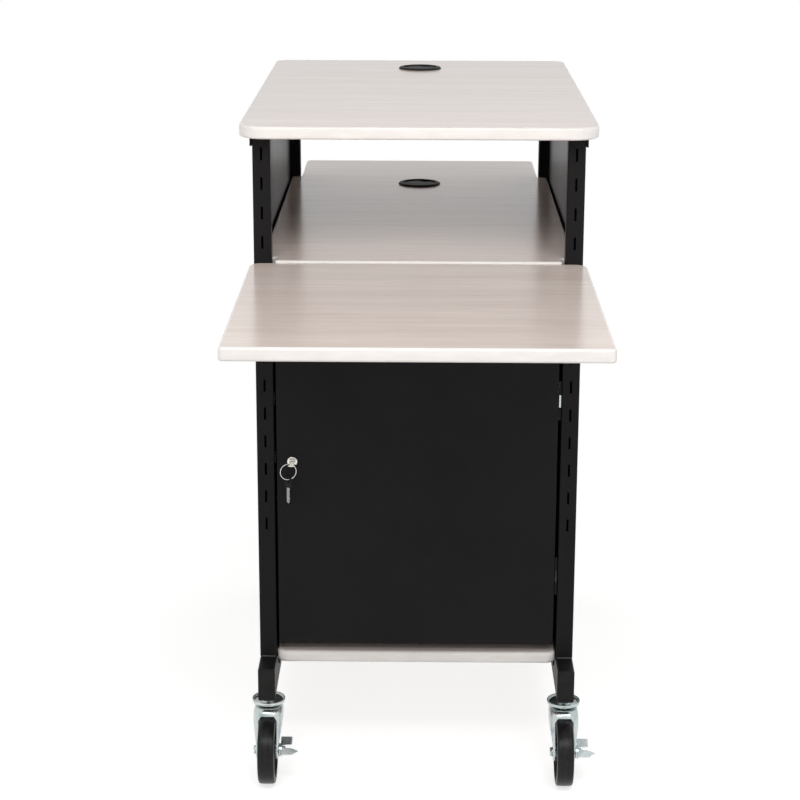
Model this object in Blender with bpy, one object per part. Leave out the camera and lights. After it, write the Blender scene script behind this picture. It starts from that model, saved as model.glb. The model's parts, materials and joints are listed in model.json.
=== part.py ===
"""Podium cart: a steel frame on four casters that carries four laminate shelves and a locking cabinet.

Units are metres. Z is up, the front of the cart faces -Y, and X runs to the user's right.
While the pieces are made, X = 0 is the middle, Y = 0 the front face of the front posts and Z = 0
the floor. At the end the whole cart is moved so that the origin is the bottom centre of its box.
"""

import math

import bmesh
import bpy
from mathutils import Matrix, Vector

# Clearances and cutting
FIT_GAP = 0.0003          # between pieces that touch or are fastened
RUN_GAP = 0.0003          # round a shaft that turns
SHELF_JOINT = 0.0008      # between the work shelf and the middle shelf
OVERRUN = 0.002           # how far a cutter passes a face
LEAST_RADIUS_SHARE = 1 / 3  # of a corner radius, kept when the edge is moved inwards
SMOOTH_ANGLE = math.radians(35)
MILLIMETRES = 1000        # in a metre, for the printed list
SAME_PLACE = 0.000001     # two outline points this near are one

# Frame
FRAME_WIDTH = 0.4724      # over the outer faces of the posts
FRAME_DEPTH = 0.7536      # from the front of the front posts to the back of the rear posts
POST = 0.0254
TUBE_WALL = 0.0016
TUBE_CORNER = 0.0025
FOOT_HEIGHT = 0.0508
FOOT_REACH = 0.049        # the foot tubes run on in front of the posts and behind them
RAIL_STEEL = 0.0032
RAIL_DROP = 0.0147
RAIL_COVER = 0.0285
PANEL_STEEL = 0.0012
PANEL_RECESS = 0.0072     # from the outer face of a post to the side panel
ANGLE_STEEL = 0.002
ANGLE_LEG = 0.025
ANGLE_SETBACK = 0.004
LOW_ANGLE_DROP = 0.016
LOW_ANGLE_SETBACK = 0.030
BACK_PANEL_SETBACK = 0.015

# Slots in the front posts
SLOT_COUNT = 14
SLOT_TOP_DROP = 0.044     # from the top of the cart to the middle of the first slot
SLOT_PITCH = 0.0425
SLOT_WIDTH = 0.0031
SLOT_HEIGHT = 0.0185

# Shelves
CART_HEIGHT = 0.993
BOARD = 0.018
BOARD_EDGE = 0.0015
TOP_SIDE_OVERHANG = 0.0178
TOP_FRONT_OVERHANG = 0.038
TOP_REAR_OVERHANG = 0.0344
TOP_FRONT_RADIUS = 0.040
TOP_REAR_RADIUS = 0.022
MIDDLE_HEIGHT = 0.7954
MIDDLE_SIDE_GAP = 0.0028      # to a side panel
MIDDLE_NECK_WIDTH = 0.4130
MIDDLE_TAB_WIDTH = 0.4170
MIDDLE_TAB_REACH = 0.1517  # behind the rear posts
MIDDLE_FRONT_REACH = 0.0014
MIDDLE_NECK_RADIUS = 0.004
MIDDLE_TAB_RADIUS = 0.010
POST_CLEARANCE = 0.0015   # between the middle shelf and the posts that it passes
WORK_DROP = 0.003         # the work shelf lies this much below the middle shelf
WORK_SIDE_OVERHANG = 0.0051
WORK_DEPTH = 0.4940
WORK_FRONT_RADIUS = 0.005
WORK_REAR_RADIUS = 0.018
BOTTOM_HEIGHT = 0.1944
BOTTOM_OVERHANG = 0.004
BOTTOM_RADIUS = 0.015

# Brackets of the work shelf
BRACKET_STEEL = 0.0025
BRACKET_LENGTH = 0.400
BRACKET_REAR_DROP = 0.096
BRACKET_FRONT_DROP = 0.017
BRACKET_FLANGE = 0.020
BRACKET_HOOKS = 2
HOOK_NECK = 0.010
HOOK_TAIL = 0.0055
HOOK_STEEL = 0.0025

# Cable grommets
GROMMET_HOLE = 0.060
GROMMET_FLANGE = 0.072
GROMMET_LIP = 0.0030
GROMMET_WALL = 0.0018
GROMMET_DEPTH = 0.016
GROMMET_RIM = 0.004
GROMMET_LEDGE = 0.003
GROMMET_CAP_THICKNESS = 0.0024
GROMMET_NOTCH_WIDTH = 0.016
GROMMET_NOTCH_DEPTH = 0.012
TOP_GROMMET_SETBACK = 0.6648
MIDDLE_GROMMET_SETBACK = 0.6518
NOTCH_TURN = math.radians(63)

# Cabinet door
DOOR_STEEL = 0.0012
DOOR_RETURN = 0.012       # depth of the folded rim
DOOR_RECESS = 0.002
DOOR_SIDE_GAP = 0.0036
DOOR_BOTTOM_GAP = 0.0108
DOOR_TOP_GAP = 0.003
HINGE_RADIUS = 0.0021
HINGE_PIN_RADIUS = 0.0010
HINGE_BORE_RADIUS = 0.00118
HINGE_LEAF = 0.001
HINGE_AXIS_SETBACK = 0.0035
HINGE_KNUCKLE = 0.019
HINGE_KNUCKLES = 3
HINGE_KNUCKLE_GAP = 0.0004
HINGE_LEAF_START = 0.0028
HINGE_POST_LEAF_REACH = 0.0180
HINGE_DOOR_LEAF_REACH = 0.0095
HINGE_HEAD = 0.0012
HINGE_HEAD_RADIUS = 0.0019
HINGE_HEIGHTS = {"upper": 0.5873, "lower": 0.3150}

# Catch plates on the left front post
CATCH_STEEL = 0.0015
CATCH_HEIGHT = 0.018
CATCH_FRONT_SETBACK = 0.003
CATCH_REAR_SETBACK = 0.024
STRIKE_RISE = 0.0060          # its middle above the middle of the lock
STRIKE_SETBACK = 0.0165
STRIKE_REACH = 0.013
STOP_RISE = 0.0950            # its middle above the middle of the lock
STOP_REACH = 0.009

# Cam lock and keys
LOCK_HEIGHT = 0.4930
LOCK_EDGE_DISTANCE = 0.0229   # from the free edge of the door
LOCK_FLANGE_RADIUS = 0.0077
LOCK_FLANGE = 0.0025
LOCK_BARREL_RADIUS = 0.0059
LOCK_LENGTH = 0.0160
LOCK_BORE_RADIUS = 0.0048
LOCK_NUT_RADIUS = 0.0090
LOCK_NUT = 0.003
PLUG_RADIUS = 0.0045
PLUG_PROUD = 0.0008
PLUG_STUD_RADIUS = 0.0025
PLUG_STUD_NUT_RADIUS = 0.004
PLUG_STUD_NUT = 0.002
CAM_STEEL = 0.002
CAM_LENGTH = 0.022
CAM_WIDTH = 0.011
KEYWAY_DEPTH = 0.0145
KEYWAY_SPACE = 0.0003
KEY_STEEL = 0.0014
KEY_BLADE_WIDTH = 0.0070
KEY_BLADE_LENGTH = 0.0135
KEY_NECK_WIDTH = 0.0060
KEY_BOW_DISTANCE = 0.0155     # from the front of the plug to the middle of the bow
KEY_BOW_RADIUS = 0.0061
KEY_HOLE_RADIUS = 0.0041
RING_RADIUS = 0.012
RING_WIRE_RADIUS = 0.0005
RING_HANG = 0.0098        # from the middle of the ring to the rim that it hangs on
RING_TURN = math.radians(18)
SPARE_HEAD_WIDTH = 0.0115
SPARE_HEAD_HEIGHT = 0.0165
SPARE_HEAD_THICKNESS = 0.0020
SPARE_HEAD_RADIUS = 0.004
SPARE_HOLE_RADIUS = 0.0034
SPARE_HOLE_RIM = 0.0018
SPARE_SEAT_GAP = 0.0016
SPARE_TURN = math.radians(-25)
SPARE_BLADE_WIDTH = 0.0050
SPARE_BLADE_LENGTH = 0.0240
SPARE_BLADE_THICKNESS = 0.0016
SPARE_TOOTH = 0.0012
SPARE_TOOTH_COUNT = 4

# Casters
CASTER_HEIGHT = 0.1332    # from the floor to the underside of a foot tube
CASTER_SETBACK = -0.0092  # from the front face of the front posts to the front stems
WHEEL_RADIUS = 0.0508
WHEEL_WIDTH = 0.0254
WHEEL_EDGE = 0.0030
WHEEL_HUB_RADIUS = 0.0130
WHEEL_RIM_RADIUS = 0.0380
WHEEL_WEB_DEPTH = 0.0045
WHEEL_HUB_SETBACK = 0.0006
WHEEL_SLOPE = 0.0025
TRAIL = 0.035
STEM_RADIUS = 0.006
STEM_LENGTH = 0.022
STEM_NUT_RADIUS = 0.009
DISH_RADIUS = 0.0252
DISH_TOP_DROP = 0.0118    # from the underside of the foot tube to the rim of the dish
DISH_HEIGHT = 0.0069
DISH_FLOOR = 0.0022
DISH_RIM = 0.0022
DISH_TAPER = 0.0012
DISH_COLLAR_RADIUS = 0.012
KINGPIN_RADIUS = 0.0075
KINGPIN_HEAD_RADIUS = 0.0105
KINGPIN_HEAD = 0.0030
FORK_DROP = 0.0020        # from the underside of the dish to the fork
FORK_STEEL = 0.0026
FORK_TOP_WIDTH = 0.0380
FORK_WIDTH = 0.0440
FORK_LEG_WIDTH = 0.0336
FORK_WHEEL_GAP = 0.0012
FORK_ARCH_GAP = 0.0025
FORK_ARCH_TOP_WIDTH = 0.0196
FORK_ARCH_SHOULDER = 0.0066
FORK_TOP_ROUND = 0.004
FORK_SHOULDER_DROP = 0.0225
FORK_WAIST_RISE = 0.0250  # above the axle
FORK_LEG_RISE = 0.0110
FORK_LEG_DROP = 0.0110
FORK_FRONT = 0.033        # in front of the stem at the crown
FORK_REAR = 0.023
FORK_CROWN_INSET = 0.006
FORK_LEG_FRONT = 0.012    # in front of the axle
FORK_LEG_REAR = 0.013
FORK_FOOT_INSET = 0.004
FORK_SHOULDER_FRONT = 0.037
FORK_SHOULDER_REAR = 0.016
FORK_WAIST_REAR = 0.004
FORK_CROWN_RADIUS = 0.015
FORK_SHOULDER_RADIUS = 0.012
FORK_WAIST_RADIUS = 0.006
FORK_LEG_RADIUS = 0.003
AXLE_RADIUS = 0.004
AXLE_HEAD_RADIUS = 0.0075
AXLE_HEAD = 0.004
AXLE_NUT_RADIUS = 0.0065
AXLE_NUT = 0.005
PEDAL_HUB_RADIUS = 0.010
PEDAL_HUB = 0.005
PEDAL_STEEL = 0.0022
PEDAL_RISE = 0.0055
PEDAL_ROOT = 0.0026       # how far a wing starts outside the leg
PEDAL_FRONT_REACH = 0.0470
PEDAL_REAR_REACH = 0.0370
PEDAL_FRONT_NEAR = 0.004
PEDAL_FRONT_FAR = 0.017
PEDAL_REAR_NEAR = 0.004
PEDAL_REAR_FAR = 0.019
PEDAL_FRONT_TILT = math.radians(38)
PEDAL_REAR_TILT = math.radians(28)
PEDAL_TOOTH = 0.0022
PEDAL_TOOTH_COUNT = 4

# Counts of segments
ROUND_STEPS = 20
WHEEL_STEPS = 24
GROMMET_STEPS = 32
SMALL_STEPS = 12
CORNER_STEPS = 3
BOARD_CORNER_STEPS = 6
WIRE_STEPS = 6

# Heights and faces worked out from the sizes above
FOOT_BOTTOM = CASTER_HEIGHT
FOOT_TOP = FOOT_BOTTOM + FOOT_HEIGHT
POST_X = FRAME_WIDTH / 2 - POST / 2
POST_INNER = FRAME_WIDTH / 2 - POST
REAR_POST_Y = FRAME_DEPTH - POST
TOP_BOTTOM = CART_HEIGHT - BOARD
TOP_WIDTH = FRAME_WIDTH + 2 * TOP_SIDE_OVERHANG
WORK_WIDTH = FRAME_WIDTH + 2 * WORK_SIDE_OVERHANG
MIDDLE_WIDTH = FRAME_WIDTH - 2 * (PANEL_RECESS + PANEL_STEEL + MIDDLE_SIDE_GAP)
RAIL_BOTTOM = TOP_BOTTOM - FIT_GAP - RAIL_STEEL
POST_TOP = RAIL_BOTTOM - FIT_GAP
MIDDLE_BOTTOM = MIDDLE_HEIGHT - BOARD
WORK_HEIGHT = MIDDLE_HEIGHT - WORK_DROP
WORK_BOTTOM = WORK_HEIGHT - BOARD
WORK_REAR = -MIDDLE_FRONT_REACH - SHELF_JOINT
ANGLE_TOP = MIDDLE_BOTTOM - FIT_GAP
ANGLE_BOTTOM = ANGLE_TOP - ANGLE_LEG
LOW_ANGLE_TOP = BOTTOM_HEIGHT - BOARD - FIT_GAP
SLOT_TOP = CART_HEIGHT - SLOT_TOP_DROP
BRACKET_TOP = WORK_BOTTOM - FIT_GAP
HIGHEST_SEAT = BRACKET_TOP - HOOK_NECK
FIRST_SEAT = SLOT_TOP - SLOT_HEIGHT / 2 + FIT_GAP
FIRST_HOOK_SLOT = math.ceil((FIRST_SEAT - HIGHEST_SEAT) / SLOT_PITCH)
DOOR_BOTTOM = BOTTOM_HEIGHT + DOOR_BOTTOM_GAP
DOOR_TOP = BRACKET_TOP - BRACKET_STEEL - DOOR_TOP_GAP
HINGE_X = POST_INNER - FIT_GAP - HINGE_RADIUS
DOOR_RIGHT = HINGE_X - HINGE_RADIUS - FIT_GAP
DOOR_LEFT = -POST_INNER + DOOR_SIDE_GAP
STRIKE_HEIGHT = LOCK_HEIGHT + STRIKE_RISE
STOP_HEIGHT = LOCK_HEIGHT + STOP_RISE
LOCK_X = DOOR_LEFT + LOCK_EDGE_DISTANCE
LOCK_FRONT = DOOR_RECESS - FIT_GAP - LOCK_FLANGE
PLUG_FRONT = LOCK_FRONT - PLUG_PROUD
LOCK_BACK = LOCK_FRONT + LOCK_FLANGE + LOCK_LENGTH
CAM_FRONT = LOCK_BACK + FIT_GAP + FIT_GAP
BOW_Y = PLUG_FRONT - KEY_BOW_DISTANCE
RIM_MIDDLE = (KEY_BOW_RADIUS + KEY_HOLE_RADIUS) / 2
RING_X = LOCK_X - RIM_MIDDLE * math.cos(RING_TURN)
RING_Y = BOW_Y - RIM_MIDDLE * math.sin(RING_TURN)
RING_Z = LOCK_HEIGHT - RING_HANG
SPARE_Z = RING_Z - RING_RADIUS


def clear_scene():
    for old in list(bpy.data.objects):
        bpy.data.objects.remove(old, do_unlink=True)


# Materials

def make_material(name, colour, roughness, metallic):
    material = bpy.data.materials.new(name)
    material.use_nodes = True
    shader = material.node_tree.nodes["Principled BSDF"]
    shader.inputs["Base Color"].default_value = (*colour, 1)
    shader.inputs["Roughness"].default_value = roughness
    shader.inputs["Metallic"].default_value = metallic
    return material


def make_materials():
    return {
        "laminate": make_material("laminate", (0.62, 0.56, 0.52), 0.45, 0),
        "black_steel": make_material("black_steel", (0.018, 0.016, 0.016), 0.50, 0),
        "black_plastic": make_material("black_plastic", (0.022, 0.021, 0.021), 0.40, 0),
        "zinc": make_material("zinc", (0.62, 0.66, 0.67), 0.28, 1),
        "chrome": make_material("chrome", (0.75, 0.75, 0.75), 0.12, 1),
        "rubber": make_material("rubber", (0.020, 0.020, 0.021), 0.62, 0),
    }


# Outlines

def rounded_outline(corners, steps=CORNER_STEPS):
    """Outline through (x, y, radius) corners, with an arc at each corner that has a radius."""
    points = []
    for index, (x, y, radius) in enumerate(corners):
        here = Vector((x, y))
        before = Vector(corners[index - 1][:2])
        after = Vector(corners[(index + 1) % len(corners)][:2])
        if radius <= 0:
            points.append((x, y))
            continue
        to_before = (before - here).normalized()
        to_after = (after - here).normalized()
        half_angle = to_before.angle(to_after) / 2
        reach = radius / math.tan(half_angle)
        centre = here + (to_before + to_after).normalized() * (radius / math.sin(half_angle))
        start = here + to_before * reach - centre
        finish = here + to_after * reach - centre
        turn = start.angle_signed(finish)
        for step in range(steps + 1):
            arm = start.copy()
            arm.rotate(Matrix.Rotation(-turn * step / steps, 2))
            point = (centre.x + arm.x, centre.y + arm.y)
            if not points or math.dist(point, points[-1]) > SAME_PLACE:
                points.append(point)
    if math.dist(points[0], points[-1]) <= SAME_PLACE:
        points.pop()
    return points


def rectangle(x0, x1, y0, y1, radius=0):
    return [(x0, y0, radius), (x1, y0, radius), (x1, y1, radius), (x0, y1, radius)]


def inset_corners(corners, inset):
    """Move every edge of a counterclockwise outline inwards by the same amount."""
    moved = []
    for index, (x, y, radius) in enumerate(corners):
        here = Vector((x, y))
        before = (here - Vector(corners[index - 1][:2])).normalized()
        after = (Vector(corners[(index + 1) % len(corners)][:2]) - here).normalized()
        left_before = Vector((-before.y, before.x))
        left_after = Vector((-after.y, after.x))
        bisector = (left_before + left_after).normalized()
        shift = bisector * inset / max(bisector.dot(left_before), inset)
        convex = before.cross(after) > 0
        new_radius = max(radius - inset, radius * LEAST_RADIUS_SHARE) if convex else radius + inset
        moved.append((x + shift.x, y + shift.y, new_radius if radius > 0 else 0))
    return moved


def circle(radius, steps=ROUND_STEPS, x=0, y=0):
    return [(x + radius * math.cos(math.tau * step / steps),
             y + radius * math.sin(math.tau * step / steps)) for step in range(steps)]


# Solids as bmeshes

def loft(loops):
    """Closed solid through loops of equally many points, lowest loop first."""
    solid = bmesh.new()
    rings = [[solid.verts.new(point) for point in loop] for loop in loops]
    for low, high in zip(rings, rings[1:]):
        for index in range(len(low)):
            follow = (index + 1) % len(low)
            solid.faces.new((low[index], low[follow], high[follow], high[index]))
    solid.faces.new(list(reversed(rings[0])))
    solid.faces.new(rings[-1])
    return solid


def prism(outline, low, high, axis="Z"):
    """Extrude an outline along an axis; the outline's plane is XY, YZ for X or ZX for Y."""
    solid = loft([[(u, v, low) for u, v in outline], [(u, v, high) for u, v in outline]])
    turn_to_axis(solid, axis)
    return solid


def turn_to_axis(solid, axis):
    """Send the solid's own (x, y, z) to (y, z, x) for axis X, or to (z, x, y) for axis Y."""
    for vert in solid.verts:
        u, v, w = vert.co
        if axis == "X":
            vert.co = (w, u, v)
        elif axis == "Y":
            vert.co = (v, w, u)


def box(x0, x1, y0, y1, z0, z1):
    outline = [(x0, y0), (x1, y0), (x1, y1), (x0, y1)]
    return prism(outline, z0, z1)


def board(corners, bottom, top, edge=BOARD_EDGE):
    """Flat panel with its long edges eased."""
    full = rounded_outline(corners, BOARD_CORNER_STEPS)
    eased = rounded_outline(inset_corners(corners, edge), BOARD_CORNER_STEPS)
    return loft([
        [(x, y, bottom) for x, y in eased],
        [(x, y, bottom + edge) for x, y in full],
        [(x, y, top - edge) for x, y in full],
        [(x, y, top) for x, y in eased],
    ])


def tube(outer, inner, low, high):
    """Straight tube, open at both ends, between two outlines of equally many points."""
    solid = bmesh.new()
    levels = [(outer, low), (outer, high), (inner, high), (inner, low)]
    rings = [[solid.verts.new((x, y, z)) for x, y in outline] for outline, z in levels]
    for ring, after in zip(rings, rings[1:] + rings[:1]):
        for index in range(len(ring)):
            follow = (index + 1) % len(ring)
            solid.faces.new((ring[index], ring[follow], after[follow], after[index]))
    return solid


def turned(profile, steps=ROUND_STEPS, axis="Z"):
    """Turn a profile of (radius, height) points, given bottom to top down the outer side."""
    solid = bmesh.new()
    rings = []
    for radius, height in profile:
        if radius <= 0:
            rings.append([solid.verts.new((0, 0, height))])
        else:
            rings.append([solid.verts.new((x, y, height)) for x, y in circle(radius, steps)])
    pairs = list(zip(rings, rings[1:]))
    if profile[0][0] > 0:
        pairs.append((rings[-1], rings[0]))
    for low, high in pairs:
        for index in range(steps):
            follow = (index + 1) % steps
            if len(low) == 1:
                solid.faces.new((low[0], high[follow], high[index]))
            elif len(high) == 1:
                solid.faces.new((low[index], low[follow], high[0]))
            else:
                solid.faces.new((low[index], low[follow], high[follow], high[index]))
    turn_to_axis(solid, axis)
    return solid


def torus(radius, wire_radius, steps=ROUND_STEPS, wire_steps=WIRE_STEPS):
    """Wire ring round the Y axis."""
    solid = bmesh.new()
    rings = []
    for step in range(steps):
        angle = math.tau * step / steps
        ring = []
        for part in range(wire_steps):
            turn = math.tau * part / wire_steps
            reach = radius + wire_radius * math.cos(turn)
            point = (reach * math.cos(angle), wire_radius * math.sin(turn), reach * math.sin(angle))
            ring.append(solid.verts.new(point))
        rings.append(ring)
    for ring, after in zip(rings, rings[1:] + rings[:1]):
        for index in range(wire_steps):
            follow = (index + 1) % wire_steps
            solid.faces.new((ring[index], ring[follow], after[follow], after[index]))
    return solid


def moved(solid, x=0, y=0, z=0):
    bmesh.ops.translate(solid, verts=solid.verts, vec=(x, y, z))
    return solid


def mirrored(solid):
    """The same solid on the other side of the middle plane."""
    for vert in solid.verts:
        vert.co.x = -vert.co.x
    return solid


def joined(*solids):
    """Several solids in one mesh, for a cutter."""
    whole = bmesh.new()
    for solid in solids:
        mesh = bpy.data.meshes.new("joined")
        solid.to_mesh(mesh)
        solid.free()
        whole.from_mesh(mesh)
        bpy.data.meshes.remove(mesh)
    return whole


# Objects

def make_empty(name, place, parent=None):
    empty = bpy.data.objects.new(name, None)
    bpy.context.scene.collection.objects.link(empty)
    empty["pivot"] = tuple(place)
    start = Vector(parent["pivot"]) if parent else Vector()
    empty.location = Vector(place) - start
    empty.parent = parent
    return empty


def make_object(name, solid, parent):
    """Object whose origin lies on its parent empty's pivot."""
    pivot = Vector(parent["pivot"])
    bmesh.ops.translate(solid, verts=solid.verts, vec=-pivot)
    bmesh.ops.recalc_face_normals(solid, faces=solid.faces)
    mesh = bpy.data.meshes.new(name)
    solid.to_mesh(mesh)
    solid.free()
    piece = bpy.data.objects.new(name, mesh)
    bpy.context.scene.collection.objects.link(piece)
    piece.parent = parent
    return piece


def make_piece(name, solid, material, parent, smooth=False):
    piece = make_object(name, solid, parent)
    piece.data.materials.append(material)
    if smooth:
        piece.data.shade_smooth()
        piece.data.set_sharp_from_angle(angle=SMOOTH_ANGLE)
    return piece


def combine(piece, solid, operation):
    tool = make_object(piece.name + "_" + operation.lower(), solid, piece.parent)
    tool.hide_render = True
    tool.display_type = "WIRE"
    change = piece.modifiers.new(operation.lower(), "BOOLEAN")
    change.operation = operation
    change.solver = "EXACT"
    change.object = tool


def cut(piece, solid):
    combine(piece, solid, "DIFFERENCE")


def join(piece, solid):
    combine(piece, solid, "UNION")


# Frame

def slot_height(index):
    return SLOT_TOP - index * SLOT_PITCH


def post(name, side, front_face, material, parent, slotted):
    centre_x = side * POST_X

    def section(inset, radius):
        half = POST / 2 - inset
        return rounded_outline(rectangle(centre_x - half, centre_x + half, front_face + inset,
                                         front_face + POST - inset, radius))

    outer = section(0, TUBE_CORNER)
    inner = section(TUBE_WALL, TUBE_CORNER - TUBE_WALL)
    piece = make_piece(name, tube(outer, inner, FOOT_TOP + FIT_GAP, POST_TOP), material, parent)
    if slotted:
        slots = []
        for index in range(SLOT_COUNT):
            middle = slot_height(index)
            slots.append(box(centre_x - SLOT_WIDTH / 2, centre_x + SLOT_WIDTH / 2,
                             front_face - OVERRUN, front_face + TUBE_WALL + OVERRUN,
                             middle - SLOT_HEIGHT / 2, middle + SLOT_HEIGHT / 2))
        cut(piece, joined(*slots))


def stem_places():
    rear = FRAME_DEPTH - CASTER_SETBACK
    return {"front": CASTER_SETBACK, "rear": rear}


def foot(name, side, material, parent):
    centre_x = side * POST_X
    front = -FOOT_REACH
    rear = FRAME_DEPTH + FOOT_REACH

    def section(inset, radius):
        half = POST / 2 - inset
        return rounded_outline(rectangle(FOOT_BOTTOM + inset, FOOT_TOP - inset,
                                         centre_x - half, centre_x + half, radius))

    piece = make_piece(name, prism(section(0, TUBE_CORNER), front, rear, "Y"), material, parent)
    inner = section(TUBE_WALL, TUBE_CORNER - TUBE_WALL)
    cut(piece, prism(inner, front + TUBE_WALL, rear - TUBE_WALL, "Y"))
    holes = []
    for y in stem_places().values():
        outline = circle(STEM_RADIUS + RUN_GAP, SMALL_STEPS, centre_x, y)
        holes.append(prism(outline, FOOT_BOTTOM - OVERRUN, FOOT_BOTTOM + TUBE_WALL + OVERRUN))
    cut(piece, joined(*holes))


def side_panel(name, side, material, parent):
    outer = FRAME_WIDTH / 2 - PANEL_RECESS
    solid = box(outer - PANEL_STEEL, outer, POST + FIT_GAP, REAR_POST_Y - FIT_GAP,
                FOOT_TOP + FIT_GAP, POST_TOP)
    make_piece(name, solid if side > 0 else mirrored(solid), material, parent)


def back_panel(material, parent):
    front = REAR_POST_Y + BACK_PANEL_SETBACK
    solid = box(-POST_INNER + FIT_GAP, POST_INNER - FIT_GAP, front, front + PANEL_STEEL,
                BOTTOM_HEIGHT + FIT_GAP, ANGLE_BOTTOM - FIT_GAP)
    make_piece("back_panel", solid, material, parent)


def angle_bar(name, side, points, front, rear, material, parent):
    """Rolled bar with an L section, given by its (x, z) points on the right side."""
    outline = [(z, x) for x, z in points]
    solid = prism(outline, front, rear, "Y")
    make_piece(name, solid if side > 0 else mirrored(solid), material, parent)


def top_rail(name, side, material, parent):
    inner = FRAME_WIDTH / 2 + FIT_GAP
    outer = inner + RAIL_STEEL
    top = TOP_BOTTOM - FIT_GAP
    points = [(outer, top), (outer, top - RAIL_DROP), (inner, top - RAIL_DROP), (inner, RAIL_BOTTOM),
              (outer - RAIL_COVER, RAIL_BOTTOM), (outer - RAIL_COVER, top)]
    angle_bar(name, side, points, 0, FRAME_DEPTH, material, parent)


def shelf_angle(name, side, top, drop, front, rear, material, parent):
    outer = POST_INNER - FIT_GAP
    points = [(outer, top), (outer, top - drop), (outer - ANGLE_STEEL, top - drop),
              (outer - ANGLE_STEEL, top - ANGLE_STEEL), (outer - ANGLE_LEG, top - ANGLE_STEEL),
              (outer - ANGLE_LEG, top)]
    angle_bar(name, side, points, front, rear, material, parent)


# Shelves

def top_shelf(material, parent):
    half = TOP_WIDTH / 2
    front = -TOP_FRONT_OVERHANG
    rear = FRAME_DEPTH + TOP_REAR_OVERHANG
    corners = [(-half, front, TOP_FRONT_RADIUS), (half, front, TOP_FRONT_RADIUS),
               (half, rear, TOP_REAR_RADIUS), (-half, rear, TOP_REAR_RADIUS)]
    piece = make_piece("top_shelf", board(corners, TOP_BOTTOM, CART_HEIGHT), material, parent)
    cut(piece, grommet_hole(TOP_GROMMET_SETBACK, TOP_BOTTOM, CART_HEIGHT))


def middle_shelf(material, parent):
    neck = MIDDLE_NECK_WIDTH / 2
    half = MIDDLE_WIDTH / 2
    tab = MIDDLE_TAB_WIDTH / 2
    behind_front_posts = POST + POST_CLEARANCE
    before_rear_posts = REAR_POST_Y - POST_CLEARANCE
    rear = FRAME_DEPTH + MIDDLE_TAB_REACH
    corners = [(-neck, -MIDDLE_FRONT_REACH, MIDDLE_NECK_RADIUS),
               (neck, -MIDDLE_FRONT_REACH, MIDDLE_NECK_RADIUS),
               (neck, behind_front_posts, 0), (half, behind_front_posts, 0),
               (half, before_rear_posts, 0), (tab, before_rear_posts, 0),
               (tab, rear, MIDDLE_TAB_RADIUS), (-tab, rear, MIDDLE_TAB_RADIUS),
               (-tab, before_rear_posts, 0), (-half, before_rear_posts, 0),
               (-half, behind_front_posts, 0), (-neck, behind_front_posts, 0)]
    piece = make_piece("middle_shelf", board(corners, MIDDLE_BOTTOM, MIDDLE_HEIGHT), material, parent)
    cut(piece, grommet_hole(MIDDLE_GROMMET_SETBACK, MIDDLE_BOTTOM, MIDDLE_HEIGHT))


def work_shelf(material, parent):
    half = WORK_WIDTH / 2
    front = WORK_REAR - WORK_DEPTH
    corners = [(-half, front, WORK_FRONT_RADIUS), (half, front, WORK_FRONT_RADIUS),
               (half, WORK_REAR, WORK_REAR_RADIUS), (-half, WORK_REAR, WORK_REAR_RADIUS)]
    make_piece("work_shelf", board(corners, WORK_BOTTOM, WORK_HEIGHT), material, parent)


def bottom_shelf(material, parent):
    half = POST_INNER - FIT_GAP
    corners = rectangle(-half, half, -BOTTOM_OVERHANG, FRAME_DEPTH + BOTTOM_OVERHANG, BOTTOM_RADIUS)
    make_piece("bottom_shelf", board(corners, BOTTOM_HEIGHT - BOARD, BOTTOM_HEIGHT), material, parent)


def work_bracket(name, side, material, parent):
    rear = -FIT_GAP
    front = rear - BRACKET_LENGTH
    outline = [(front, BRACKET_TOP), (front, BRACKET_TOP - BRACKET_FRONT_DROP),
               (rear, BRACKET_TOP - BRACKET_REAR_DROP), (rear, BRACKET_TOP)]
    low_x = POST_X - BRACKET_STEEL / 2
    high_x = POST_X + BRACKET_STEEL / 2
    solids = [prism(outline, low_x, high_x, "X"),
              box(low_x - BRACKET_FLANGE, high_x, front, rear, BRACKET_TOP - BRACKET_STEEL, BRACKET_TOP)]
    for index in range(FIRST_HOOK_SLOT, FIRST_HOOK_SLOT + BRACKET_HOOKS):
        seat = FIRST_SEAT - index * SLOT_PITCH
        behind_wall = TUBE_WALL + FIT_GAP
        hook = [(rear - BRACKET_STEEL, seat), (behind_wall, seat), (behind_wall, seat - HOOK_TAIL),
                (behind_wall + HOOK_STEEL, seat - HOOK_TAIL), (behind_wall + HOOK_STEEL, seat + HOOK_NECK),
                (rear - BRACKET_STEEL, seat + HOOK_NECK)]
        solids.append(prism(hook, low_x, high_x, "X"))
    if side < 0:
        solids = [mirrored(solid) for solid in solids]
    piece = make_piece(name, solids[0], material, parent)
    for solid in solids[1:]:
        join(piece, solid)


# Cable grommets

def grommet_hole(y, bottom, top):
    return prism(circle(GROMMET_HOLE / 2, GROMMET_STEPS, 0, y), bottom - OVERRUN, top + OVERRUN)


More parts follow.
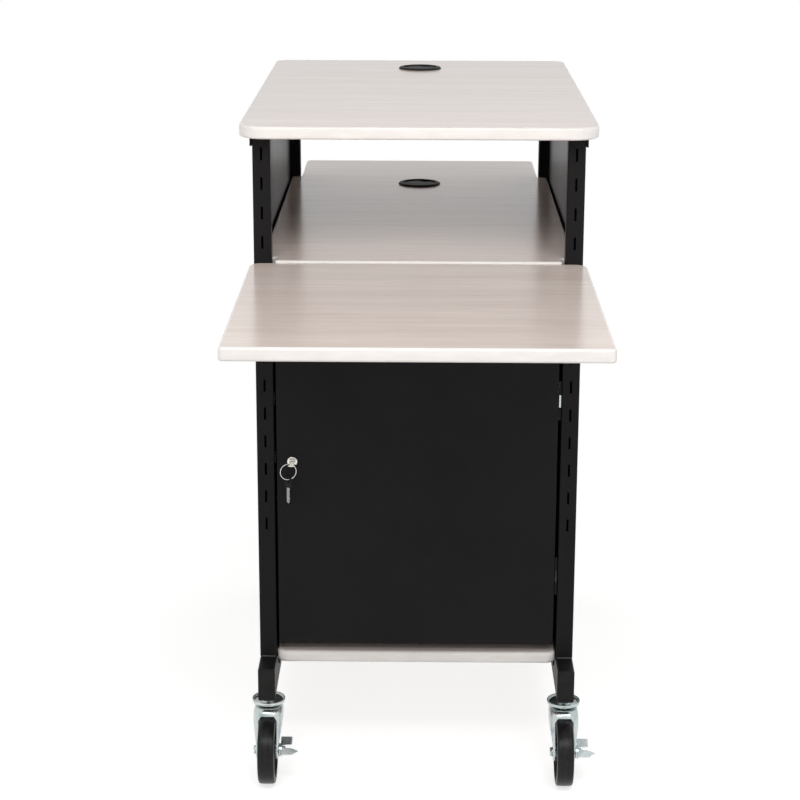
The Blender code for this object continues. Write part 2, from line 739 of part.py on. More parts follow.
def grommet(name, y, top, material, parent):
    outer = GROMMET_FLANGE / 2
    rim = outer - GROMMET_RIM
    sleeve = GROMMET_HOLE / 2 - FIT_GAP
    bore = sleeve - GROMMET_WALL - GROMMET_LEDGE
    base = top + FIT_GAP
    ledge = base - GROMMET_LIP / 2
    profile = [(bore, top - GROMMET_DEPTH), (sleeve, top - GROMMET_DEPTH), (sleeve, base), (outer, base),
               (outer, base + GROMMET_LIP / 2), (rim + GROMMET_RIM / 2, base + GROMMET_LIP),
               (sleeve - GROMMET_WALL, base + GROMMET_LIP), (sleeve - GROMMET_WALL, ledge), (bore, ledge)]
    solid = moved(turned(profile, GROMMET_STEPS), y=y)
    make_piece(name + "_sleeve", solid, material, parent, True)
    pivot = make_empty(name + "_cap_pivot", (0, y, ledge), parent)
    radius = sleeve - GROMMET_WALL - RUN_GAP
    cap_bottom = ledge + FIT_GAP
    cap_top = cap_bottom + GROMMET_CAP_THICKNESS
    disc = moved(turned([(0, cap_bottom), (radius, cap_bottom), (radius, cap_top - FIT_GAP),
                         (radius - FIT_GAP, cap_top), (0, cap_top)], GROMMET_STEPS), y=y)
    cap = make_piece(name + "_cap", disc, material, pivot, True)
    notch = box(radius - GROMMET_NOTCH_DEPTH, radius + OVERRUN, -GROMMET_NOTCH_WIDTH / 2,
                GROMMET_NOTCH_WIDTH / 2, cap_bottom - OVERRUN, cap_top + OVERRUN)
    bmesh.ops.rotate(notch, verts=notch.verts, matrix=Matrix.Rotation(NOTCH_TURN, 3, "Z"))
    cut(cap, moved(notch, y=y))


# Door, hinges and catches

def door_panel(material, pivot):
    front = DOOR_RECESS
    back = front + DOOR_RETURN
    solid = box(DOOR_LEFT, DOOR_RIGHT, front, back, DOOR_BOTTOM, DOOR_TOP)
    piece = make_piece("door_panel", solid, material, pivot)
    cut(piece, box(DOOR_LEFT + DOOR_STEEL, DOOR_RIGHT - DOOR_STEEL, front + DOOR_STEEL, back + OVERRUN,
                   DOOR_BOTTOM + DOOR_STEEL, DOOR_TOP - DOOR_STEEL))
    cut(piece, prism(circle(LOCK_BARREL_RADIUS + FIT_GAP, ROUND_STEPS, LOCK_HEIGHT, LOCK_X),
                     front - OVERRUN, front + DOOR_STEEL + OVERRUN, "Y"))


def knuckle_span(height, index):
    bottom = height + (index - HINGE_KNUCKLES / 2) * HINGE_KNUCKLE
    return bottom + HINGE_KNUCKLE_GAP / 2, bottom + HINGE_KNUCKLE - HINGE_KNUCKLE_GAP / 2


def hinge_leaf(name, height, knuckles, face, reach, material, parent):
    """Leaf with its face at x = face, wrapped round the pin at the knuckles that it owns."""
    low = min(face, face + math.copysign(HINGE_LEAF, HINGE_X - face))
    start = HINGE_AXIS_SETBACK + HINGE_LEAF_START
    bottom = knuckle_span(height, 0)[0]
    top = knuckle_span(height, HINGE_KNUCKLES - 1)[1]
    piece = make_piece(name, box(low, low + HINGE_LEAF, start, HINGE_AXIS_SETBACK + reach, bottom, top),
                       material, parent)
    for index in knuckles:
        z0, z1 = knuckle_span(height, index)
        join(piece, box(low, low + HINGE_LEAF, HINGE_AXIS_SETBACK, start + HINGE_LEAF, z0, z1))
        join(piece, prism(circle(HINGE_RADIUS, SMALL_STEPS, HINGE_X, HINGE_AXIS_SETBACK), z0, z1))
    cut(piece, prism(circle(HINGE_BORE_RADIUS, SMALL_STEPS, HINGE_X, HINGE_AXIS_SETBACK),
                     bottom - OVERRUN, top + OVERRUN))


def hinge_pin(name, height, material, parent):
    bottom = knuckle_span(height, 0)[0] - HINGE_HEAD
    top = knuckle_span(height, HINGE_KNUCKLES - 1)[1] + FIT_GAP
    profile = [(0, bottom), (HINGE_PIN_RADIUS, bottom), (HINGE_PIN_RADIUS, top),
               (HINGE_HEAD_RADIUS, top), (HINGE_HEAD_RADIUS, top + HINGE_HEAD), (0, top + HINGE_HEAD)]
    solid = moved(turned(profile, SMALL_STEPS), HINGE_X, HINGE_AXIS_SETBACK)
    make_piece(name, solid, material, parent, True)


def hinge(label, height, steel, zinc, frame, door):
    name = "hinge_" + label
    post_face = POST_INNER - FIT_GAP
    door_face = DOOR_RIGHT + FIT_GAP
    outer_knuckles = (0, HINGE_KNUCKLES - 1)
    hinge_leaf(name + "_post_leaf", height, outer_knuckles, post_face, HINGE_POST_LEAF_REACH, steel, frame)
    hinge_leaf(name + "_door_leaf", height, (1,), door_face, HINGE_DOOR_LEAF_REACH, zinc, door)
    hinge_pin(name + "_pin", height, zinc, frame)


def catch_plate(name, height, tab_front, reach, material, parent):
    """Small bracket on the left front post: a foot on the post and a tab across the opening."""
    face = -POST_INNER + FIT_GAP
    bottom = height - CATCH_HEIGHT / 2
    top = height + CATCH_HEIGHT / 2
    plate = box(face, face + CATCH_STEEL, CATCH_FRONT_SETBACK, CATCH_REAR_SETBACK, bottom, top)
    tab = box(face + CATCH_STEEL / 2, face + CATCH_STEEL + reach, tab_front, tab_front + CATCH_STEEL,
              bottom, top)
    piece = make_piece(name, plate, material, parent)
    join(piece, tab)


# Lock and keys

def lock_housing(material, pivot):
    nut_front = DOOR_RECESS + DOOR_STEEL + FIT_GAP
    profile = [(LOCK_BORE_RADIUS, LOCK_FRONT), (LOCK_FLANGE_RADIUS - FIT_GAP, LOCK_FRONT),
               (LOCK_FLANGE_RADIUS, LOCK_FRONT + FIT_GAP), (LOCK_FLANGE_RADIUS, LOCK_FRONT + LOCK_FLANGE),
               (LOCK_BARREL_RADIUS, LOCK_FRONT + LOCK_FLANGE), (LOCK_BARREL_RADIUS, nut_front),
               (LOCK_NUT_RADIUS, nut_front), (LOCK_NUT_RADIUS, nut_front + LOCK_NUT),
               (LOCK_BARREL_RADIUS, nut_front + LOCK_NUT), (LOCK_BARREL_RADIUS, LOCK_BACK),
               (LOCK_BORE_RADIUS, LOCK_BACK)]
    solid = moved(turned(profile, ROUND_STEPS, "Y"), LOCK_X, 0, LOCK_HEIGHT)
    make_piece("lock_housing", solid, material, pivot, True)


def lock_plug(material, pivot):
    shoulder = LOCK_BACK + FIT_GAP
    nut_front = CAM_FRONT + CAM_STEEL + FIT_GAP
    profile = [(0, PLUG_FRONT), (PLUG_RADIUS, PLUG_FRONT), (PLUG_RADIUS, shoulder),
               (PLUG_STUD_RADIUS, shoulder), (PLUG_STUD_RADIUS, nut_front), (PLUG_STUD_NUT_RADIUS, nut_front),
               (PLUG_STUD_NUT_RADIUS, nut_front + PLUG_STUD_NUT), (0, nut_front + PLUG_STUD_NUT)]
    solid = moved(turned(profile, SMALL_STEPS, "Y"), LOCK_X, 0, LOCK_HEIGHT)
    piece = make_piece("lock_plug", solid, material, pivot, True)
    half = KEY_BLADE_WIDTH / 2 + KEYWAY_SPACE
    rise = KEY_STEEL / 2 + KEYWAY_SPACE
    cut(piece, box(LOCK_X - half, LOCK_X + half, PLUG_FRONT - OVERRUN, PLUG_FRONT + KEYWAY_DEPTH,
                   LOCK_HEIGHT - rise, LOCK_HEIGHT + rise))


def lock_cam(material, pivot):
    half = CAM_WIDTH / 2
    tip = LOCK_HEIGHT + CAM_LENGTH
    corners = [(LOCK_HEIGHT - half, LOCK_X - half, half), (tip, LOCK_X - half, half / 2),
               (tip, LOCK_X + half, half / 2), (LOCK_HEIGHT - half, LOCK_X + half, half)]
    solid = prism(rounded_outline(corners), CAM_FRONT, CAM_FRONT + CAM_STEEL, "Y")
    piece = make_piece("lock_cam", solid, material, pivot)
    cut(piece, prism(circle(PLUG_STUD_RADIUS + FIT_GAP, SMALL_STEPS, LOCK_HEIGHT, LOCK_X),
                     CAM_FRONT - OVERRUN, CAM_FRONT + CAM_STEEL + OVERRUN, "Y"))


def key(material, pivot):
    low = LOCK_HEIGHT - KEY_STEEL / 2
    high = LOCK_HEIGHT + KEY_STEEL / 2
    half = KEY_BLADE_WIDTH / 2
    neck = KEY_NECK_WIDTH / 2
    shoulder = PLUG_FRONT - FIT_GAP
    tip = PLUG_FRONT + KEY_BLADE_LENGTH
    root = BOW_Y + KEY_HOLE_RADIUS + KEYWAY_SPACE
    blade = [(LOCK_X - neck, root), (LOCK_X + neck, root), (LOCK_X + neck, shoulder - half),
             (LOCK_X + half, shoulder), (LOCK_X + half, tip - half), (LOCK_X, tip),
             (LOCK_X - half, tip - half), (LOCK_X - half, shoulder), (LOCK_X - neck, shoulder - half)]
    bow = prism(circle(KEY_BOW_RADIUS, ROUND_STEPS, LOCK_X, BOW_Y), low, high)
    piece = make_piece("key", bow, material, pivot)
    join(piece, prism(blade, low, high))
    cut(piece, prism(circle(KEY_HOLE_RADIUS, ROUND_STEPS, LOCK_X, BOW_Y), low - OVERRUN, high + OVERRUN))


def key_ring(material, pivot):
    solid = torus(RING_RADIUS, RING_WIRE_RADIUS)
    bmesh.ops.rotate(solid, verts=solid.verts, matrix=Matrix.Rotation(RING_TURN, 3, "Z"))
    make_piece("key_ring", moved(solid, RING_X, RING_Y, RING_Z), material, pivot, True)


def hung(solid):
    """Turn a solid made round the Z axis to the spare key's angle and move it under the ring."""
    bmesh.ops.rotate(solid, verts=solid.verts, matrix=Matrix.Rotation(SPARE_TURN, 3, "Z"))
    return moved(solid, RING_X, RING_Y)


def spare_key(material, pivot):
    half_head = SPARE_HEAD_THICKNESS / 2
    half_blade = SPARE_BLADE_THICKNESS / 2
    hole_top = SPARE_Z + RING_WIRE_RADIUS + SPARE_SEAT_GAP
    hole_middle = hole_top - SPARE_HOLE_RADIUS
    head_top = hole_top + SPARE_HOLE_RIM
    head_bottom = head_top - SPARE_HEAD_HEIGHT
    half = SPARE_HEAD_WIDTH / 2
    head = rounded_outline(rectangle(head_bottom, head_top, -half, half, SPARE_HEAD_RADIUS))
    piece = make_piece("spare_key", hung(prism(head, -half_head, half_head, "Y")), material, pivot)
    edge = SPARE_BLADE_WIDTH / 2
    blade_top = head_bottom + SPARE_HEAD_RADIUS
    tip = head_bottom - SPARE_BLADE_LENGTH
    teeth = []
    for index in range(SPARE_TOOTH_COUNT):
        pitch = SPARE_BLADE_LENGTH / (SPARE_TOOTH_COUNT + 1)
        bottom = tip + pitch * (index + 1) - pitch / 2
        teeth += [(bottom, edge), (bottom + pitch / 2, edge - SPARE_TOOTH)]
    blade = [(blade_top, edge), (blade_top, -edge), (tip + edge, -edge), (tip, 0)] + teeth
    join(piece, hung(prism(blade, -half_blade, half_blade, "Y")))
    hole = circle(SPARE_HOLE_RADIUS, SMALL_STEPS, hole_middle)
    cut(piece, hung(prism(hole, -half_head - OVERRUN, half_head + OVERRUN, "Y")))


# Casters

def caster_seat(name, x, y, material, parent):
    """Fixed upper half of a caster: stem, nut, dish and the riveted kingpin below it."""
    top = FOOT_BOTTOM - FIT_GAP
    rim = FOOT_BOTTOM - DISH_TOP_DROP
    base = rim - DISH_HEIGHT
    floor = base + DISH_FLOOR
    crown = base - FORK_DROP
    head = crown - FORK_STEEL - FIT_GAP
    collar = base - FORK_DROP / 2
    dish_inner = DISH_RADIUS - DISH_RIM
    profile = [(0, head - KINGPIN_HEAD), (KINGPIN_HEAD_RADIUS, head - KINGPIN_HEAD),
               (KINGPIN_HEAD_RADIUS, head), (KINGPIN_RADIUS, head), (KINGPIN_RADIUS, collar),
               (DISH_COLLAR_RADIUS, collar), (DISH_COLLAR_RADIUS, base), (DISH_RADIUS - DISH_TAPER, base),
               (DISH_RADIUS, floor), (DISH_RADIUS, rim - DISH_TAPER), (DISH_RADIUS - DISH_TAPER, rim),
               (dish_inner, rim - DISH_TAPER), (dish_inner - DISH_TAPER, floor),
               (STEM_NUT_RADIUS, floor + DISH_TAPER), (STEM_NUT_RADIUS, top), (STEM_RADIUS, top),
               (STEM_RADIUS, top + STEM_LENGTH), (0, top + STEM_LENGTH)]
    make_piece(name, moved(turned(profile), x, y), material, parent, True)


def fork_levels(inset):
    """Sections of the fork from the axle ends up to the crown: (height, front, rear, width, radius)."""
    top = FOOT_BOTTOM - DISH_TOP_DROP - DISH_HEIGHT - FORK_DROP
    axle_y = -TRAIL
    return [
        (WHEEL_RADIUS - FORK_LEG_DROP, axle_y - FORK_LEG_FRONT + FORK_FOOT_INSET,
         axle_y + FORK_LEG_REAR - FORK_FOOT_INSET, FORK_LEG_WIDTH, FORK_LEG_RADIUS),
        (WHEEL_RADIUS, axle_y - FORK_LEG_FRONT, axle_y + FORK_LEG_REAR, FORK_LEG_WIDTH, FORK_LEG_RADIUS),
        (WHEEL_RADIUS + FORK_LEG_RISE, axle_y - FORK_LEG_FRONT, axle_y + FORK_LEG_REAR,
         FORK_LEG_WIDTH, FORK_LEG_RADIUS),
        (WHEEL_RADIUS + FORK_WAIST_RISE, axle_y - FORK_LEG_FRONT / 2, FORK_WAIST_REAR,
         (FORK_LEG_WIDTH + FORK_WIDTH) / 2, FORK_WAIST_RADIUS),
        (top - FORK_SHOULDER_DROP, -FORK_SHOULDER_FRONT, FORK_SHOULDER_REAR,
         FORK_WIDTH, FORK_SHOULDER_RADIUS),
        (top - FORK_TOP_ROUND, -FORK_FRONT, FORK_REAR, FORK_WIDTH, FORK_CROWN_RADIUS),
        (top - inset, -FORK_FRONT + FORK_CROWN_INSET, FORK_REAR - FORK_CROWN_INSET / 2,
         FORK_TOP_WIDTH, FORK_CROWN_RADIUS),
    ]


def fork_body(inset):
    loops = []
    for height, front, rear, width, radius in fork_levels(inset):
        half = width / 2
        corners = inset_corners(rectangle(-half, half, front, rear, radius), inset)
        loops.append([(x, y, height) for x, y in rounded_outline(corners)])
    if inset:
        lowest = [(x, y, z - FORK_LEG_DROP) for x, y, z in loops[0]]
        loops.insert(0, lowest)
    return loft(loops)


def fork_arch():
    """Opening for the wheel, from front to back, narrower under the crown."""
    half = WHEEL_WIDTH / 2 + FORK_WHEEL_GAP
    top_half = FORK_ARCH_TOP_WIDTH / 2
    top = WHEEL_RADIUS * 2 + FORK_ARCH_GAP
    shoulder = top - FORK_ARCH_SHOULDER
    bend = top - FORK_ARCH_SHOULDER / 3
    bend_half = (half + top_half) / 2 + FORK_WHEEL_GAP / 2
    outline = [(0, -half), (shoulder, -half), (bend, -bend_half), (top, -top_half),
               (top, top_half), (bend, bend_half), (shoulder, half), (0, half)]
    return prism(outline, -WHEEL_RADIUS * 2, WHEEL_RADIUS * 2, "Y")


def caster_fork(name, pivot_x, pivot_y, material, pivot):
    piece = make_piece(name, moved(fork_body(0), pivot_x, pivot_y), material, pivot, True)
    cut(piece, moved(fork_body(FORK_STEEL), pivot_x, pivot_y))
    cut(piece, moved(fork_arch(), pivot_x, pivot_y))
    cut(piece, prism(circle(KINGPIN_RADIUS + RUN_GAP, ROUND_STEPS, pivot_x, pivot_y),
                     CASTER_HEIGHT / 2, CASTER_HEIGHT))
    cut(piece, moved(prism(circle(AXLE_RADIUS + RUN_GAP, SMALL_STEPS, pivot_y - TRAIL, WHEEL_RADIUS),
                           -FORK_WIDTH, FORK_WIDTH, "X"), pivot_x))


def caster_wheel(name, pivot_x, axle_y, material, pivot):
    half = WHEEL_WIDTH / 2
    bore = AXLE_RADIUS + RUN_GAP
    side = [(bore, half - WHEEL_HUB_SETBACK), (WHEEL_HUB_RADIUS, half - WHEEL_HUB_SETBACK),
            (WHEEL_HUB_RADIUS + WHEEL_SLOPE, half - WHEEL_WEB_DEPTH),
            (WHEEL_RIM_RADIUS, half - WHEEL_WEB_DEPTH),
            (WHEEL_RIM_RADIUS + WHEEL_SLOPE, half), (WHEEL_RADIUS - WHEEL_EDGE, half),
            (WHEEL_RADIUS - WHEEL_EDGE / 3, half - WHEEL_EDGE / 3), (WHEEL_RADIUS, half - WHEEL_EDGE)]
    profile = [(radius, -place) for radius, place in side] + list(reversed(side))
    solid = moved(turned(profile, WHEEL_STEPS, "X"), pivot_x, axle_y, WHEEL_RADIUS)
    make_piece(name, solid, material, pivot, True)


def caster_axle(name, pivot_x, axle_y, braked, material, pivot):
    seat = FORK_LEG_WIDTH / 2 + FIT_GAP
    nut = seat + (PEDAL_HUB + FIT_GAP if braked else 0)
    profile = [(0, -seat - AXLE_HEAD), (AXLE_HEAD_RADIUS, -seat - AXLE_HEAD), (AXLE_HEAD_RADIUS, -seat),
               (AXLE_RADIUS, -seat), (AXLE_RADIUS, nut), (AXLE_NUT_RADIUS, nut),
               (AXLE_NUT_RADIUS, nut + AXLE_NUT), (0, nut + AXLE_NUT)]
    solid = moved(turned(profile, SMALL_STEPS, "X"), pivot_x, axle_y, WHEEL_RADIUS)
    make_piece(name, solid, material, pivot, True)


def brake_pedal(name, pivot_x, axle_y, material, pivot):
    """Side lever on the axle with a pointed wing in front and a toothed wing behind."""
    seat = FORK_LEG_WIDTH / 2 + FIT_GAP
    root = seat + PEDAL_ROOT
    hub = moved(prism(circle(PEDAL_HUB_RADIUS, ROUND_STEPS, 0, 0), seat, seat + PEDAL_HUB, "X"),
                pivot_x, axle_y, WHEEL_RADIUS)
    piece = make_piece(name, hub, material, pivot, True)
    front = [(root, -PEDAL_FRONT_FAR), (PEDAL_REAR_REACH, -PEDAL_FRONT_FAR),
             (PEDAL_FRONT_REACH, -(PEDAL_FRONT_FAR + PEDAL_FRONT_NEAR) / 2),
             (PEDAL_REAR_REACH, -PEDAL_FRONT_NEAR - PEDAL_TOOTH), (root, -PEDAL_FRONT_NEAR)]
    rear = [(root, PEDAL_REAR_NEAR), (PEDAL_REAR_REACH - PEDAL_TOOTH, PEDAL_REAR_NEAR)]
    pitch = (PEDAL_REAR_FAR - PEDAL_REAR_NEAR) / PEDAL_TOOTH_COUNT
    for index in range(PEDAL_TOOTH_COUNT):
        start = PEDAL_REAR_NEAR + pitch * index
        rear += [(PEDAL_REAR_REACH, start + pitch / 3), (PEDAL_REAR_REACH, start + pitch * 2 / 3),
                 (PEDAL_REAR_REACH - PEDAL_TOOTH, start + pitch)]
    rear.append((root, PEDAL_REAR_FAR))
    for outline, near, tilt in ((front, -PEDAL_FRONT_NEAR, PEDAL_FRONT_TILT),
                                (rear, PEDAL_REAR_NEAR, PEDAL_REAR_TILT)):
        wing = prism(outline, PEDAL_RISE, PEDAL_RISE + PEDAL_STEEL)
        bmesh.ops.rotate(wing, verts=wing.verts, cent=(0, near, PEDAL_RISE),
                         matrix=Matrix.Rotation(tilt, 3, "X"))
        join(piece, moved(wing, pivot_x, axle_y, WHEEL_RADIUS))
    cut(piece, moved(prism(circle(AXLE_RADIUS + RUN_GAP, SMALL_STEPS, 0, 0), 0, seat + FORK_WIDTH, "X"),
                     pivot_x, axle_y, WHEEL_RADIUS))


def caster(label, x, y, braked, materials, frame):
    zinc = materials["zinc"]
    caster_seat("caster_seat_" + label, x, y, zinc, frame)
    swivel = make_empty("caster_swivel_" + label, (x, y, CASTER_HEIGHT - DISH_TOP_DROP), frame)
    axle_y = y - TRAIL
    axle = make_empty("caster_axle_line_" + label, (x, axle_y, WHEEL_RADIUS), swivel)
    caster_fork("caster_fork_" + label, x, y, zinc, swivel)
    caster_axle("caster_axle_" + label, x, axle_y, braked, zinc, axle)
    caster_wheel("caster_wheel_" + label, x, axle_y, materials["rubber"], axle)
    if braked:
        brake_pedal("brake_pedal_" + label, x, axle_y, zinc, axle)


# The whole cart

def build_frame(materials, frame):
    steel = materials["black_steel"]
    for side, label in ((-1, "left"), (1, "right")):
        post("post_front_" + label, side, 0, steel, frame, True)
        post("post_rear_" + label, side, REAR_POST_Y, steel, frame, False)
        foot("foot_" + label, side, steel, frame)
        side_panel("side_panel_" + label, side, steel, frame)
        top_rail("top_rail_" + label, side, steel, frame)
        shelf_angle("middle_support_" + label, side, ANGLE_TOP, ANGLE_LEG, ANGLE_SETBACK,
                    FRAME_DEPTH - ANGLE_SETBACK, steel, frame)
        shelf_angle("bottom_support_" + label, side, LOW_ANGLE_TOP, LOW_ANGLE_DROP, LOW_ANGLE_SETBACK,
                    FRAME_DEPTH - LOW_ANGLE_SETBACK, steel, frame)
        work_bracket("work_bracket_" + label, side, steel, frame)
    back_panel(steel, frame)


def build_shelves(materials, frame):
    laminate = materials["laminate"]
    top_shelf(laminate, frame)
    middle_shelf(laminate, frame)
    work_shelf(laminate, frame)
    bottom_shelf(laminate, frame)
    plastic = materials["black_plastic"]
    grommet("top_grommet", TOP_GROMMET_SETBACK, CART_HEIGHT, plastic, frame)
    grommet("middle_grommet", MIDDLE_GROMMET_SETBACK, MIDDLE_HEIGHT, plastic, frame)


def build_door(materials, frame):
    steel = materials["black_steel"]
    zinc = materials["zinc"]
    chrome = materials["chrome"]
    middle = (DOOR_BOTTOM + DOOR_TOP) / 2
    door = make_empty("door_hinge_line", (HINGE_X, HINGE_AXIS_SETBACK, middle), frame)
    door_panel(steel, door)
    for label, height in HINGE_HEIGHTS.items():
        hinge(label, height, steel, zinc, frame, door)
    catch_plate("latch_strike", STRIKE_HEIGHT, STRIKE_SETBACK, STRIKE_REACH, steel, frame)
    catch_plate("door_stop", STOP_HEIGHT, DOOR_RECESS + DOOR_RETURN + FIT_GAP, STOP_REACH, steel, frame)
    lock_housing(chrome, door)
    lock = make_empty("lock_line", (LOCK_X, PLUG_FRONT, LOCK_HEIGHT), door)
    lock_plug(chrome, lock)
    lock_cam(zinc, lock)
    key(chrome, lock)
    ring = make_empty("key_ring_pivot", (RING_X, RING_Y, LOCK_HEIGHT), lock)
    key_ring(chrome, ring)
    spare = make_empty("spare_key_pivot", (RING_X, RING_Y, SPARE_Z), ring)
    spare_key(chrome, spare)


def build_casters(materials, frame):
    for place, y in stem_places().items():
        for side, label in ((-1, "left"), (1, "right")):
            caster(place + "_" + label, side * POST_X, y, place == "front", materials, frame)


def centre_on_floor(frame):
    """Move the cart so that the origin is the bottom centre of its box."""
    bpy.context.view_layer.update()
    depsgraph = bpy.context.evaluated_depsgraph_get()
    corners = []
    for piece in bpy.data.objects:
        if piece.type != "MESH" or piece.hide_render:
            continue
        shape = piece.evaluated_get(depsgraph)
        corners += [shape.matrix_world @ Vector(corner) for corner in shape.bound_box]
    x_middle = (min(corner.x for corner in corners) + max(corner.x for corner in corners)) / 2
    y_middle = (min(corner.y for corner in corners) + max(corner.y for corner in corners)) / 2
    floor = min(corner.z for corner in corners)
    frame.location = (-x_middle, -y_middle, -floor)
    bpy.context.view_layer.update()


def print_pivots():
    """Print the world place of each pivot, in millimetres."""
    for empty in bpy.data.objects:
        if empty.type == "EMPTY":
            place = empty.matrix_world.translation * MILLIMETRES
            print(f"pivot {empty.name}: {place.x:.3f} {place.y:.3f} {place.z:.3f}")


def main():
    clear_scene()
    materials = make_materials()
    frame = make_empty("cart", (0, 0, 0))
    build_frame(materials, frame)
    build_shelves(materials, frame)
    build_door(materials, frame)
    build_casters(materials, frame)
    centre_on_floor(frame)
    print_pivots()


main()
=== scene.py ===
# %% [markdown]
# # Podium cart
# This file dresses a finished steel and laminate cart, step by step. The solids come from a fixed frame
# that is only loaded here. Each step says what a piece is on the real cart, how it could be made in
# Blender and why one way was chosen. Lengths are metres, Z is up and the door faces -Y.

# %% Load the frame
import json
import math

import bmesh
import bpy
from mathutils import Matrix, Vector


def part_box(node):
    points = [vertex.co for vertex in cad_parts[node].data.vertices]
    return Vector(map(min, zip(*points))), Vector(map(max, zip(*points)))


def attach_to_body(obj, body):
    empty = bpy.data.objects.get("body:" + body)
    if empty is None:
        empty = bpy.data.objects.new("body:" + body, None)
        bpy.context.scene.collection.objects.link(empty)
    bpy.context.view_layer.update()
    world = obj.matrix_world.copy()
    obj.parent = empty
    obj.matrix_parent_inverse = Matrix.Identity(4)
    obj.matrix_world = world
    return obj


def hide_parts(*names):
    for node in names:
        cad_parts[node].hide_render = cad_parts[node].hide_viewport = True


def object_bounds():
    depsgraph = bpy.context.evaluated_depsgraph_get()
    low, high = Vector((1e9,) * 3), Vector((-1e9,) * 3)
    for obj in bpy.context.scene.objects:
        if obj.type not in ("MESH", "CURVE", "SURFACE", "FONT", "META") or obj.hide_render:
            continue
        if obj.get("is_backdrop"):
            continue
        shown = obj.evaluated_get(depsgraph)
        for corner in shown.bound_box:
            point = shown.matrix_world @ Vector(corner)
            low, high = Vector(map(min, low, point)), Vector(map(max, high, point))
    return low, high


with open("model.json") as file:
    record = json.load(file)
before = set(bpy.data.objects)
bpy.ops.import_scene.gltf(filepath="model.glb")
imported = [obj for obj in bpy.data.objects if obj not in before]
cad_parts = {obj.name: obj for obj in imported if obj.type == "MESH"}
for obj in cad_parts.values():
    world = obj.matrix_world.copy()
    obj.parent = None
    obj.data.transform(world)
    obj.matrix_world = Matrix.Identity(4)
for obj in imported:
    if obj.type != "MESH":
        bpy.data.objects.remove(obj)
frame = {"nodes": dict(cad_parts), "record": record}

cad_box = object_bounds()
behaviour = frame["record"]["behaviour"]
body_of = {node: body for body, nodes in behaviour["bodies"].items() for node in nodes}
slot_of = {row["node"]: row["material_slot"] for row in frame["record"]["subparts"]}
scene = bpy.context.scene

# %% [markdown]
# ## Where things are
# The frame's origin lies under the middle of its box, which the brake pedals push a little to the left.
# It is easier to think of X = 0 as the middle of the cart and Y = 0 as the front face of its posts, so a
# small helper turns such places into the frame's own.

# %% The cart's middle and front
left_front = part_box("post_front_left")[0]
MIDDLE_X = (left_front.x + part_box("post_front_right")[1].x) / 2
FRONT_Y = left_front.y


def at(x, y, z=0.0):
    return Vector((x + MIDDLE_X, y + FRONT_Y, z))


def centre_of(node):
    return tuple((low + high) / 2 for low, high in zip(*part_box(node)))


def add_object(name, data):
    item = bpy.data.objects.new(name, data)
    scene.collection.objects.link(item)
    return item


print("middle of the cart at x", round(MIDDLE_X, 5), "front of the posts at y", round(FRONT_Y, 5))

# %% [markdown]
# ## Camera
# The camera's place and lens were solved from the photograph: long lens, about 3.1 m away, looking
# 16 degrees down. It is built from its own right, up and back directions, so that its tiny roll is
# kept. Pointing it with a constraint would lose the roll.

# %% Camera
LENS = 93.53
FAR_CLIP = 60
PITCH, YAW, ROLL = 0.2739, -0.0104, 0.0030
CAMERA_PLACE = Vector((-0.00355, -3.12775, 1.40980))

ahead = Vector((math.sin(YAW) * math.cos(PITCH), math.cos(YAW) * math.cos(PITCH), -math.sin(PITCH)))
level_right = Vector((math.cos(YAW), -math.sin(YAW), 0))
level_up = level_right.cross(ahead)
right = level_right * math.cos(ROLL) + level_up * math.sin(ROLL)
up = level_up * math.cos(ROLL) - level_right * math.sin(ROLL)
camera = add_object("camera", bpy.data.cameras.new("camera"))
camera.data.lens = LENS
camera.data.clip_end = FAR_CLIP
camera.matrix_world = Matrix.Translation(CAMERA_PLACE) @ Matrix((right, up, -ahead)).transposed().to_4x4()
scene.camera = camera
print("camera looks", [round(value, 3) for value in ahead])

# %% [markdown]
# ## Floor and backdrop
# The photograph has a white studio round the cart. More light would bleach the laminate, so the white
# comes from the floor and the world as the camera and the glossy pieces see them. What falls on the cart
# is another value: strong from low down, where a studio has white walls, and weak from above. That reaches
# under the top shelf and leaves the top board grey, as in the photograph. The floor mixes plain white paint
# with a little glow, and so keeps a soft shadow under the wheels.

# %% Node helpers


def add_node(tree, kind, inputs=None, **settings):
    """New node; an input takes a value, or follows another node or one of its outputs."""
    node = tree.nodes.new(kind)
    for name, value in settings.items():
        setattr(node, name, value)
    for socket, value in (inputs or {}).items():
        if isinstance(value, bpy.types.Node):
            value = value.outputs[0]
        if isinstance(value, bpy.types.NodeSocket):
            tree.links.new(value, node.inputs[socket])
        else:
            node.inputs[socket].default_value = value
    return node


def seen_or_lit(tree, lit, seen, end_kind):
    """One shader for what lights the cart, another for what the camera and glossy pieces see."""
    path = add_node(tree, "ShaderNodeLightPath").outputs
    either = add_node(tree, "ShaderNodeMath", {0: path["Is Camera Ray"], 1: path["Is Glossy Ray"]},
                      operation="MAXIMUM")
    mix = add_node(tree, "ShaderNodeMixShader", {0: either, 1: lit, 2: seen})
    add_node(tree, end_kind, {"Surface": mix})


print("node helpers ready")

# %% World
WORLD_LOW = 1.62
WORLD_HIGH = 0.24
BAND_LOW = 0.12
BAND_HIGH = 0.65
FILL_COLOUR = (1, 0.995, 0.985, 1)

